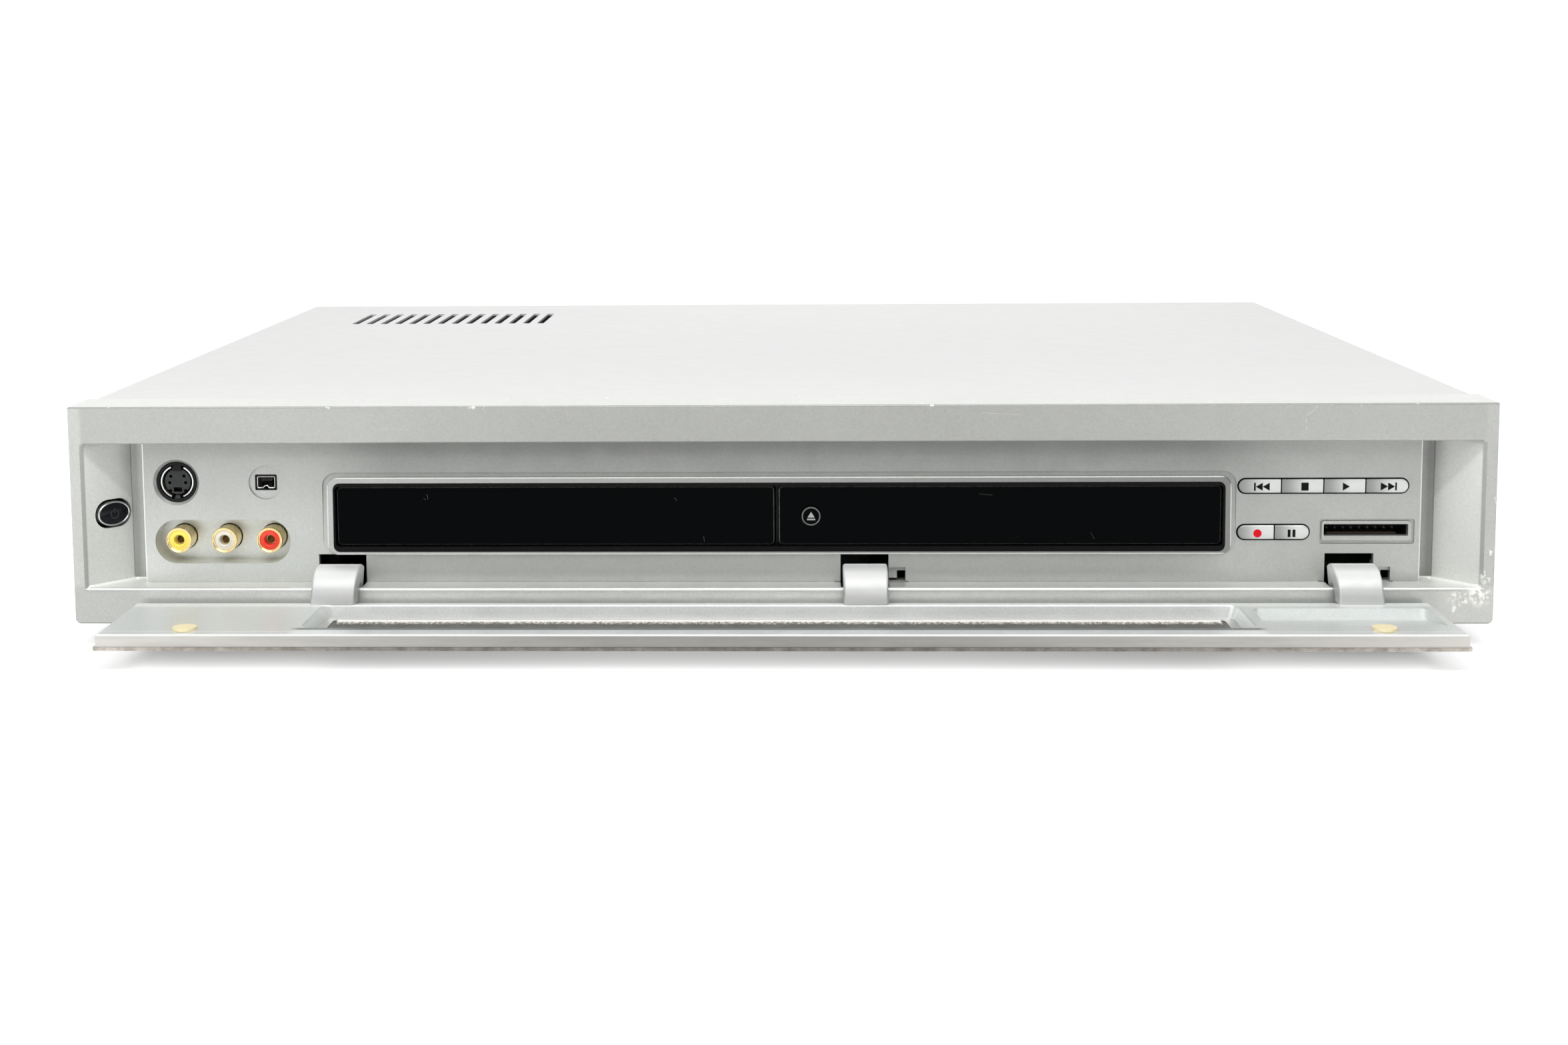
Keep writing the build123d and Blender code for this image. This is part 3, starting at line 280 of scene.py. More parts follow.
def bezel_tones(t, c, r):
    """Painted light and shade on the bezel's faces, painted shade in the groove, painted highlights along edges, and
    chipped and stained paint at the lower right.
    """
    X, Y, Z = t.xyz()
    ax = t.math("ABSOLUTE", X)
    # the recess only: not the top face, the outer sides or the return under the flap
    hollow = t.math("MULTIPLY", t.remap(Z, 0.0640, 0.0645, 1.0, 0.0), t.remap(ax, 0.2121, 0.2124, 1.0, 0.0))
    hollow = t.math("MULTIPLY", hollow, t.remap(Z, 0.0160, 0.0168, 0.0, 1.0))
    back = t.math("MULTIPLY", hollow, t.remap(Y, yy(0.9) / 1000, yy(1.3) / 1000, 0.0, 1.0))
    ends = t.remap(ax, 0.1937, 0.1942, 0.0, 1.0)
    # front: painted light and shade, lighter or darker across the top strip, the sides and the strip under the recess
    strip = t.math("ADD", 0.62, t.math("ADD", t.remap(X, -0.02, -0.16, 0.0, 0.09, True), t.remap(X, 0.05, 0.19, 0.0, 0.08, True)))
    strip = t.math("ADD", strip, t.remap(X, -0.2105, -0.2120, 0.0, 0.14, True))
    strip = t.math("ADD", strip, t.remap(X, 0.2105, 0.2120, 0.0, 0.05, True))
    under = t.math("ADD", t.remap(X, -0.215, 0.0, 0.73, 0.90), t.remap(X, 0.02, 0.215, 0.0, -0.06))
    under = t.math("ADD", under, t.math("MULTIPLY", t.remap(X, -0.1965, -0.190, 0.0, 0.13), t.remap(X, -0.120, -0.060, 1.0, 0.0)))
    under = t.math("ADD", under, t.math("MULTIPLY", t.remap(X, 0.150, 0.185, 0.0, -0.12), t.remap(X, 0.2000, 0.1960, 0.0, 1.0)))
    f = t.mixf(t.remap(Z, 0.0175, 0.0195, 1.0, 0.0, True), strip, under)
    # top face: painted light, lighter than the front as lit from above, more so towards its ends
    inset = t.remap(Y, yy(0.30) / 1000, yy(0.48) / 1000, 0.0, 1.0)
    f = t.mixf(t.math("MULTIPLY", t.remap(Z, 0.0737, 0.07395, 0.0, 1.0), inset), f, t.remap(ax, 0.15, 0.20, 1.14, 1.20))
    # painted shade on the rounded top front edge and on the rounded foot of the front
    rim = t.math("MULTIPLY", t.remap(Z, 0.07352, 0.07362, 0.0, 1.0), t.remap(Y, yy(0.48) / 1000, yy(0.38) / 1000, 0.0, 1.0))
    f = t.mixf(rim, f, 0.50)
    foot = t.math("MULTIPLY", t.remap(Z, 0.0075, 0.0072, 0.0, 1.0), t.remap(Y, yy(0.6) / 1000, yy(0.45) / 1000, 0.0, 1.0))
    f = t.mixf(foot, f, 0.42)
    # inside of the recess: painted light and shade, the floor lighter towards its ends
    floor = t.math("ADD", t.remap(X, -0.165, -0.125, 1.14, 1.00, True), t.remap(X, -0.12, 0.01, 0.0, -0.08))
    floor = t.math("ADD", floor, t.remap(X, 0.118, 0.150, 0.0, 0.24, True))
    # cheeks: a soft shadow that runs down from the outer upper corner
    slant = t.math("SUBTRACT", t.math("MULTIPLY", Z, 1000.0), t.math("ADD", 61.0, t.math("MULTIPLY", t.math("SUBTRACT", ax, 0.2117), 1500.0)))
    cheek = t.math("MULTIPLY", t.mixf(t.remap(slant, -1.4, 1.4, 0.0, 1.0, True), 1.28, 1.08), t.remap(Z, 0.0635, 0.0600, 0.90, 1.0))
    inner = t.mixf(t.math("MULTIPLY", ends, t.remap(Z, 0.0182, 0.0186, 0.0, 1.0)), floor, cheek)
    f = t.mixf(back, f, inner)
    # painted shade in the groove beside the panel, lighter on its inner part
    groove = t.math("MULTIPLY", t.math("MULTIPLY", hollow, t.remap(Y, yy(13.2) / 1000, yy(13.45) / 1000, 0.0, 1.0)), ends)
    f = t.mixf(groove, f, t.math("MULTIPLY", t.remap(X, -0.2, 0.2, 0.49, 0.36), t.remap(ax, 0.1970, 0.1986, 1.40, 0.95)))
    # painted shade on the rounded front edge of the recess floor, then painted highlights along that edge and along the
    # foot of the cheeks
    f = t.mixf(t.math("MULTIPLY", t.math("MULTIPLY", band(t, Z, 17.35, 18.0, 0.1), t.remap(ax, 0.2112, 0.2117, 1.0, 0.0)), t.remap(Y, yy(0.85) / 1000, yy(0.75) / 1000, 0.0, 1.0)), f, 0.62)
    painted_highlight_1 = t.math("MULTIPLY", band(t, Z, 17.62, 17.92, 0.08), t.remap(Y, yy(1.1) / 1000, yy(1.0) / 1000, 0.0, 1.0))
    painted_highlight_1 = t.math("MULTIPLY", painted_highlight_1, t.remap(ax, 0.2112, 0.2119, 1.0, 0.0))
    painted_highlight_2 = t.math("MULTIPLY", t.math("MULTIPLY", band(t, Z, 18.15, 18.75, 0.12), ends), back)
    f = t.mixf(t.math("MAXIMUM", painted_highlight_1, painted_highlight_2), f, 1.6)
    c = scale_color(t, c, f)
    # chips and stains
    flake = t.noise(430, 7.0, 0.76)
    m = None
    for x, z, rx, rz, lo in ((205.0, 14.8, 5.0, 3.0, 0.50), (210.5, 15.8, 5.0, 4.4, 0.475), (212.2, 21.5, 2.6, 3.6, 0.51),
                             (204.0, 11.4, 2.4, 2.6, 0.55), (213.6, 28.0, 1.2, 3.0, 0.56)):
        k = t.near(x, z, rx, rz, 0.7)
        k = t.math("MULTIPLY", k, t.remap(flake, lo, lo + 0.04, 0.0, 1.0))
        m = k if m is None else t.math("MAXIMUM", m, k)
    front = t.remap(Y, yy(1.2) / 1000, yy(0.4) / 1000, 0.0, 1.0)
    m = t.math("MULTIPLY", m, front)
    c = t.mix(t.math("MULTIPLY", m, 0.9), c, (0.93, 0.91, 0.86))
    lines = None
    for x0, z0, x1, z1, wd in ((158.3, 66.0, 158.0, 70.2, 0.10), (158.0, 70.2, 160.6, 72.2, 0.09), (160.9, 72.6, 161.4, 73.6, 0.10), (174.2, 72.9, 174.4, 73.7, 0.12),
                               (152.0, 72.9, 154.2, 73.5, 0.07), (214.3, 45.6, 214.8, 43.6, 0.22),
                               (-120.0, 67.2, -104.0, 66.8, 0.04), (60.0, 71.5, 74.0, 70.9, 0.04), (-30.0, 12.0, -14.0, 12.4, 0.04)):
        k = scratch(t, x0, z0, x1, z1, wd)
        lines = k if lines is None else t.math("MAXIMUM", lines, k)
    lines = t.math("MULTIPLY", t.math("MULTIPLY", lines, front), t.remap(t.noise(420, 2.0), 0.42, 0.52, 0.15, 1.0))
    c = t.mix(t.math("MULTIPLY", lines, 0.55), c, (0.90, 0.90, 0.88))
    chips = t.remap(t.noise(210, 5.0, 0.7), 0.66, 0.68, 0.0, 1.0)
    edge = t.remap(Z, 0.0728, 0.0738, 0.0, 1.0)
    c = t.mix(t.math("MULTIPLY", chips, edge), c, (0.90, 0.90, 0.88))
    c = t.mix(t.math("MULTIPLY", t.math("MULTIPLY", specks(t, 160, 0.045, 0.10), front), 0.45), c, (0.80, 0.80, 0.78))
    r = t.math("ADD", r, t.math("MULTIPLY", m, 0.3))
    return c, r


def panel_tones(t, c, r):
    """Painted light and shade on the panel: lighter at its left end and at its foot, darker above the window; light
    specks of dust.
    """
    X, Y, Z = t.xyz()
    v = t.remap(Z, 0.060, 0.022, 0.0, 1.0)
    mid = t.math("ADD", 0.685, t.math("MULTIPLY", v, 0.52))
    lf = t.math("ADD", 1.0, t.math("MULTIPLY", v, 0.50))
    rt = t.math("ADD", 1.00, t.math("MULTIPLY", v, 0.11))
    f = t.mixf(t.remap(X, -0.115, -0.150, 0.0, 1.0, True), mid, lf)
    f = t.mixf(t.remap(X, 0.125, 0.165, 0.0, 1.0, True), f, rt)
    f = t.math("MULTIPLY", f, 0.70)
    # painted shade close under the roof of the recess
    ax = t.math("ABSOLUTE", X)
    f = t.math("MULTIPLY", f, t.mixf(t.remap(Z, 0.0566, 0.0618, 0.0, 1.0), 1.0, t.remap(ax, 0.125, 0.175, 0.74, 0.88)))
    # painted highlights along the bright edges of the panel
    f = t.mixf(t.math("MULTIPLY", t.remap(ax, 0.19484, 0.19496, 0.0, 1.0), t.remap(Y, yy(9.7) / 1000, yy(9.4) / 1000, 0.0, 1.0)), f, t.remap(X, -0.1, 0.1, 1.45, 1.20))
    # pocket of the phono sockets: a little lighter and warmer
    inside = t.remap(Y, yy(9.3) / 1000, yy(9.8) / 1000, 0.0, 1.0)
    pocket = t.math("MULTIPLY", t.math("MULTIPLY", inside, band(t, X, -192.2, -149.6)), band(t, Z, 23.8, 37.8))
    f = t.mixf(pocket, f, 1.30)
    c = scale_color(t, c, f)
    c = t.mix(pocket, c, scale_color(t, c, 1.0))
    # painted shade: the walls of the key openings are near-black, so the gaps round the keys read dark
    keys = t.math("MULTIPLY", t.math("MULTIPLY", t.remap(Y, yy(9.03) / 1000, yy(9.12) / 1000, 0.0, 1.0), band(t, X, 139.8, 192.4, 0.08)),
                  t.math("MAXIMUM", band(t, Z, 44.4, 50.9), t.math("MULTIPLY", band(t, Z, 30.2, 36.6), t.remap(X, 0.1632, 0.1628, 0.0, 1.0))))
    c = t.mix(keys, c, (0.012, 0.012, 0.012))
    c = t.mix(t.math("MULTIPLY", specks(t, 140, 0.04, 0.10), 0.4), c, (0.78, 0.78, 0.76))
    return c, r


def rim_tones(t, c, r):
    X, Y, Z = t.xyz()
    # painted light and shade: the rim lighter at its left, darker at its right
    f = t.remap(X, -0.138, 0.138, 0.80, 0.41)
    dx = t.math("SUBTRACT", t.math("ABSOLUTE", X), 0.1383)
    dz = t.math("SUBTRACT", t.math("ABSOLUTE", t.math("SUBTRACT", Z, 0.0387)), 0.0120)
    d = t.math("MAXIMUM", dx, dz)
    # painted highlight along the rim's outer edge
    f = t.mixf(t.remap(d, -0.00050, -0.00032, 0.0, 1.0), f, 1.25)
    return scale_color(t, c, f), r


def flap_tones(t, c, r):
    """Inner frame of the flap: painted light on its rear part and pocket wall, painted highlights along its rear and
    front edges and crease, a painted dark line in front of the window, and a warmer, duller front face, lighter towards
    its ends by painted light.
    """
    X, Y, Z = t.xyz()
    # painted light: the rear of the inner face lighter, and the far wall of the window pocket lighter towards its top
    f = t.remap(Y, yy(-8.0) / 1000, yy(-12.0) / 1000, 1.42, 1.12, True)
    wall = t.math("MULTIPLY", t.remap(Z, 0.0144, 0.0141, 0.0, 1.0), t.math("MULTIPLY", band(t, Y, yy(-38.5), yy(-6.0)), t.remap(t.math("ABSOLUTE", X), 0.1385, 0.1390, 1.0, 0.0)))
    f = t.mixf(wall, f, t.remap(Z, 0.0108, 0.0140, 1.05, 1.42))
    # painted light on the rear strip and the front band beside the window, and a painted dark line along the window's
    # front edge, standing for shade
    mid = t.remap(t.math("ABSOLUTE", X), 0.1372, 0.1400, 1.0, 0.0)
    up = t.remap(Z, 0.0143, 0.0145, 0.0, 1.0)
    f = t.mixf(t.math("MULTIPLY", mid, t.math("MULTIPLY", t.remap(Y, yy(-8.4) / 1000, yy(-8.0) / 1000, 0.0, 1.0), t.remap(Z, 0.0136, 0.0140, 0.0, 1.0))), f, 1.50)
    f = t.mixf(t.math("MULTIPLY", mid, t.math("MULTIPLY", up, t.remap(Y, yy(-37.9) / 1000, yy(-38.3) / 1000, 0.0, 1.0))), f, 1.36)
    f = t.mixf(t.math("MULTIPLY", mid, t.math("MULTIPLY", up, band(t, Y, yy(-40.2), yy(-37.7), 0.15))), f, 0.42)
    # painted highlight along the crease
    crease = t.math("MULTIPLY", band(t, Y, yy(-42.25), yy(-41.8), 0.08), t.remap(Z, 0.0143, 0.0145, 0.0, 1.0))
    f = t.mixf(crease, f, 1.38)
    front = t.remap(Y, yy(-44.95) / 1000, yy(-45.08) / 1000, 0.0, 1.0)
    # painted highlights along the rear and front edges
    painted_highlight_1 = t.math("MULTIPLY", t.remap(Y, yy(-3.6) / 1000, yy(-3.25) / 1000, 0.0, 1.0), t.remap(Z, 0.0136, 0.0139, 0.0, 1.0))
    painted_highlight_2 = t.math("MULTIPLY", t.math("MULTIPLY", t.remap(Y, yy(-44.72) / 1000, yy(-44.82) / 1000, 0.0, 1.0), t.remap(Z, 0.0139, 0.0142, 0.0, 1.0)), 1.0)
    f = t.mixf(t.math("MAXIMUM", painted_highlight_1, painted_highlight_2), f, 1.42)
    c = scale_color(t, c, f)
    streak = t.noise(1.0, 4.0, 0.65, v=t.scaled(35, 900, 420))
    dull = t.mix(t.remap(streak, 0.3, 0.7, 0.0, 1.0), (0.36, 0.35, 0.325), (0.43, 0.42, 0.395))
    # the front face lighter towards both ends: painted light
    u = t.math("DIVIDE", X, 0.185)
    dull = scale_color(t, dull, t.math("ADD", 0.61, t.math("MULTIPLY", t.math("MULTIPLY", u, u), 0.65)))
    m = t.math("MULTIPLY", front, t.remap(Z, 0.0143, 0.0139, 0.0, 1.0))
    c = t.mix(m, c, dull)
    c = t.mix(t.math("MULTIPLY", specks(t, 200, 0.05, 0.16), 0.55), c, (0.86, 0.84, 0.80))
    return c, r


M["silver_paint"] = paint("silver_paint", (0.605, 0.615, 0.59), 0.38, 0.50, extra=bezel_tones)
M["silver_panel"] = paint("silver_panel", (0.565, 0.58, 0.555), 0.36, 0.60, extra=panel_tones)
M["rim_silver"] = paint("rim_silver", (0.60, 0.61, 0.59), 0.36, 0.50, extra=rim_tones)
M["silver_flap"] = paint("silver_flap", (0.655, 0.675, 0.665), 0.36, 0.50, extra=flap_tones)


def arm_tones(t, c, r):
    X, Y, Z = t.xyz()
    # painted light and shade by height: darker low down, lighter higher up, a painted highlight at its top, a little
    # lighter again at its foot
    f = t.remap(Z, 0.0190, 0.0230, 0.60, 1.17)
    f = t.math("MULTIPLY", f, t.remap(Z, 0.0234, 0.0243, 1.0, 0.84))
    f = t.math("MAXIMUM", f, t.remap(Z, 0.02448, 0.02460, 0.0, 1.45))
    f = t.math("ADD", f, t.remap(Z, 0.0172, 0.0150, 0.0, 0.18))
    return scale_color(t, c, f), r


def key_paint(name, x0, x1, z1):
    """Key face: painted light and shade, darker at its left end, light at its right end, with a painted highlight under
    its top edge and darker low down; its sides near-black as painted shade in the gaps.
    """
    def tones(t, c, r):
        X, Y, Z = t.xyz()
        f = t.remap(X, x0 / 1000, (x0 + (x1 - x0) * 0.70) / 1000, 0.39, 0.97, True)
        f = t.math("MULTIPLY", f, t.math("ADD", 1.0, t.math("MULTIPLY", band(t, Z, z1 - 0.55, z1 - 0.28, 0.08), 0.25)))
        f = t.math("MULTIPLY", f, t.remap(Z, (z1 - 2.6) / 1000, (z1 - 5.0) / 1000, 1.0, 0.86))
        c = scale_color(t, c, f)
        return t.mix(t.remap(Y, yy(8.62) / 1000, yy(8.75) / 1000, 0.0, 1.0), c, (0.012, 0.012, 0.012)), r
    return paint(name, (0.68, 0.69, 0.675), 0.34, 0.35, grain=0.02, coarse=0.01, extra=tones)


M["arm_silver"] = paint("arm_silver", (0.65, 0.66, 0.65), 0.42, 0.25, grain=0.02, coarse=0.01, extra=arm_tones)
M["cover_sheet"] = paint("cover_sheet", (0.62, 0.62, 0.615), 0.45, 0.0, grain=0.015, blotch=0.01, coarse=0.01, bump=0.12)


def plate_material():
    """Brushed outer plate of the flap, its front edge duller and mottled."""
    t = Tree("flap_alu")
    X, Y, Z = t.xyz()
    g = t.noise(1.0, 2.0, 0.6, v=t.scaled(14, 900, 900))
    c = t.mix(t.remap(g, 0.3, 0.7, 0.0, 1.0), (0.58, 0.57, 0.55), (0.66, 0.65, 0.63))
    spots = t.noise(260, 4.0, 0.7)
    e = t.mix(t.remap(spots, 0.35, 0.65, 0.0, 1.0), (0.17, 0.155, 0.135), (0.30, 0.28, 0.255))
    # the front edge lighter towards both ends: painted light
    u = t.math("POWER", t.math("DIVIDE", t.math("ABSOLUTE", X), 0.185), 4.0)
    e = scale_color(t, e, t.math("ADD", 0.72, t.math("MULTIPLY", u, 0.95)))
    c = t.mix(t.remap(Y, yy(-45.02) / 1000, yy(-45.10) / 1000, 0.0, 1.0), c, e)
    t.set(color=c, rough=t.remap(g, 0.3, 0.7, 0.36, 0.48), metal=0.9)
    t.bump(g, 0.05, 0.0002)
    return t.mat


M["flap_alu"] = plate_material()
M["plain_steel"] = metal("plain_steel", (0.55, 0.55, 0.56), 0.35)
M["rear_steel"] = metal("rear_steel", (0.50, 0.50, 0.51), 0.45)
M["chrome"] = metal("chrome", (0.80, 0.80, 0.81), 0.12, grain=0.02, bump=0.01)
M["gold"] = metal("gold", (0.95, 0.77, 0.40), 0.26, grain=0.05, bump=0.02)
M["black_gloss"] = plastic("black_gloss", (0.010, 0.011, 0.012), 0.22, 0.25, bump=0.02)
M["black_matte"] = plastic("black_matte", (0.016, 0.016, 0.017), 0.55, 0.25)
M["parts_dark"] = plastic("parts_dark", (0.03, 0.03, 0.032), 0.5, 0.3)
M["rubber_foot"] = plastic("rubber_foot", (0.028, 0.027, 0.026), 0.75, 0.2, scale=1200, bump=0.3)
M["tray_dark"] = plastic("tray_dark", (0.035, 0.035, 0.038), 0.45, 0.3)
M["gear_white"] = plastic("gear_white", (0.75, 0.74, 0.70), 0.4, 0.4, grain=0.03)
M["pad_yellow"] = plastic("pad_yellow", (0.76, 0.67, 0.43), 0.6, 0.3, grain=0.06, scale=1500)
M["insulator_yellow"] = plastic("insulator_yellow", (0.92, 0.76, 0.13), 0.35, 0.4, grain=0.03)
M["insulator_white"] = plastic("insulator_white", (0.74, 0.70, 0.61), 0.35, 0.4, grain=0.03)
M["insulator_red"] = plastic("insulator_red", (0.80, 0.05, 0.025), 0.35, 0.4, grain=0.03)
M["board_green"] = plastic("board_green", (0.02, 0.10, 0.05), 0.45, 0.4, scale=300)
M["key_silver"] = paint("key_silver", (0.60, 0.61, 0.60), 0.34, 0.2, grain=0.02)
M["smoke_pane"] = plastic("smoke_pane", (0.004, 0.0045, 0.005), 0.08, 0.10, bump=0.0, dust=0.0)
M["display_glass"] = plastic("display_glass", (0.004, 0.0045, 0.005), 0.08, 0.10, bump=0.0, dust=0.0)

M["mark_black"] = plastic("mark_black", (0.006, 0.007, 0.007), 0.7, 0.08, grain=0.2, scale=2500, bump=0.02)
M["mark_red"] = plastic("mark_red", (0.66, 0.006, 0.016), 0.6, 0.12, grain=0.06, scale=2500, bump=0.02)
M["mark_grey"] = plastic("mark_grey", (0.42, 0.42, 0.415), 0.55, 0.3, grain=0.08, scale=2500, bump=0.02)
M["mark_dim"] = plastic("mark_dim", (0.030, 0.030, 0.034), 0.5, 0.3, grain=0.15, scale=2500, bump=0.02)


def pane_material():
    """Near-black gloss with a little dust and a few hair scratches."""
    t = Tree("pane_black")
    X, Y, Z = t.xyz()
    c = t.mix(t.noise(60, 2.0), (0.0004, 0.0008, 0.0010), (0.0008, 0.0013, 0.0016))
    d = t.math("MAXIMUM", t.math("MULTIPLY", specks(t, 130, 0.035, 0.10), 0.5), t.math("MULTIPLY", specks(t, 420, 0.05, 0.012), 0.35))
    lines = None
    for x0, z0, x1, z1, wd in ((-107.5, 45.2, -107.2, 43.6, 0.05), (-108.6, 43.9, -107.9, 43.5, 0.05), (-22.3, 31.9, -22.1, 30.2, 0.05), (-31.2, 44.0, -30.4, 43.1, 0.05),
                               (62.0, 45.0, 66.0, 44.6, 0.03), (96.0, 33.0, 97.2, 30.9, 0.03)):
        k = scratch(t, x0, z0, x1, z1, wd)
        lines = k if lines is None else t.math("MAXIMUM", lines, k)
    d = t.math("MAXIMUM", d, t.math("MULTIPLY", lines, 0.5))
    front = t.remap(Y, yy(10.85) / 1000, yy(10.75) / 1000, 0.0, 1.0)
    c = t.mix(t.math("MULTIPLY", d, front), c, (0.30, 0.30, 0.29))
    t.set(color=c, rough=t.remap(t.noise(30, 2.0), 0.3, 0.7, 0.08, 0.16), spec=0.028)
    return t.mat


M["pane_black"] = pane_material()
M["liner_black"] = plastic("liner_black", (0.004, 0.004, 0.0045), 0.30, 0.10, bump=0.02)
# flap window: its opaque dark olive colour is partly its tint and partly painted shade, standing for the shaded floor
# seen through it
M["flap_glass"] = plastic("flap_glass", (0.036, 0.033, 0.025), 0.20, 0.07, grain=0.08, scale=60, bump=0.01)
def worn_film():
    """Clear film with worn white specks, denser at its rear."""
    t = Tree("tape_worn")
    X, Y, Z = t.xyz()
    n = t.noise(1.0, 4.0, 0.7, v=t.scaled(1100, 420, 400))
    k = t.math("ADD", n, t.remap(Y, yy(-16.2) / 1000, yy(-12.4) / 1000, -0.10, 0.12))
    c = t.mix(t.remap(k, 0.42, 0.62, 0.0, 1.0), (0.10, 0.095, 0.080), (0.66, 0.62, 0.58))
    t.set(color=c, rough=0.4, spec=0.2)
    return t.mat


M["tape_worn"] = worn_film()
M["tape_white"] = plastic("tape_white", (0.86, 0.84, 0.81), 0.6, 0.3, grain=0.05, scale=900, bump=0.3)
M["pane_edge"] = plastic("pane_edge", (0.10, 0.108, 0.094), 0.4, 0.3, grain=0.45, scale=900, bump=0.05)
M["ring_dark"] = plastic("ring_dark", (0.16, 0.16, 0.165), 0.28, 0.5, grain=0.1, bump=0.02)
M["dome_black"] = plastic("dome_black", (0.006, 0.007, 0.009), 0.16, 0.20, bump=0.01)
M["lip_chrome"] = metal("lip_chrome", (0.56, 0.56, 0.565), 0.16, grain=0.02, bump=0.01)
M["contact_dim"] = plastic("contact_dim", (0.11, 0.10, 0.085), 0.45, 0.3, grain=0.1)
M["socket_black"] = plastic("socket_black", (0.006, 0.006, 0.007), 0.45, 0.2)
M["socket_grey"] = plastic("socket_grey", (0.030, 0.033, 0.032), 0.5, 0.3)
M["shell_steel"] = metal("shell_steel", (0.86, 0.85, 0.81), 0.30, grain=0.1, bump=0.03)
M["contact_brass"] = metal("contact_brass", (0.62, 0.50, 0.27), 0.35, grain=0.08)
M["card_olive"] = plastic("card_olive", (0.050, 0.042, 0.026), 0.5, 0.3)
M["collar_green"] = plastic("collar_green", (0.02, 0.30, 0.08), 0.4, 0.4, grain=0.05)
M["collar_blue"] = plastic("collar_blue", (0.02, 0.07, 0.40), 0.4, 0.4, grain=0.05)
M["recess_dark"] = plastic("recess_dark", (0.012, 0.012, 0.013), 0.6, 0.2)

for name, ob in NODES.items():
    for s in ob.material_slots:
        base = s.material.name.split(".")[0] if s.material else ""
        if base in M:
            s.material = M[base]
        else:
            print("NO MATERIAL FOR", name, base)

for key, x0, x1, z1 in (("previous_button", 139.8, 153.0, 50.1), ("stop_button", 153.0, 165.7, 50.1), ("play_button", 165.7, 178.3, 50.1), ("next_button", 178.3, 191.5, 50.1),
                        ("record_button", 139.7, 151.1, 35.95), ("pause_button", 151.1, 162.0, 35.95)):
    for s in NODES[key].material_slots:
        s.material = key_paint("key_" + key, x0, x1, z1)
for s in NODES["window_rim"].material_slots:
    s.material = M["rim_silver"]
for s in NODES["window_liner"].material_slots:
    s.material = M["liner_black"]
for s in NODES["flap_window"].material_slots:
    s.material = M["flap_glass"]

# -------------------------------------------------------------- mesh building
def F_front(u, v, w, y=0.0):
    return P(u, y - w, v)


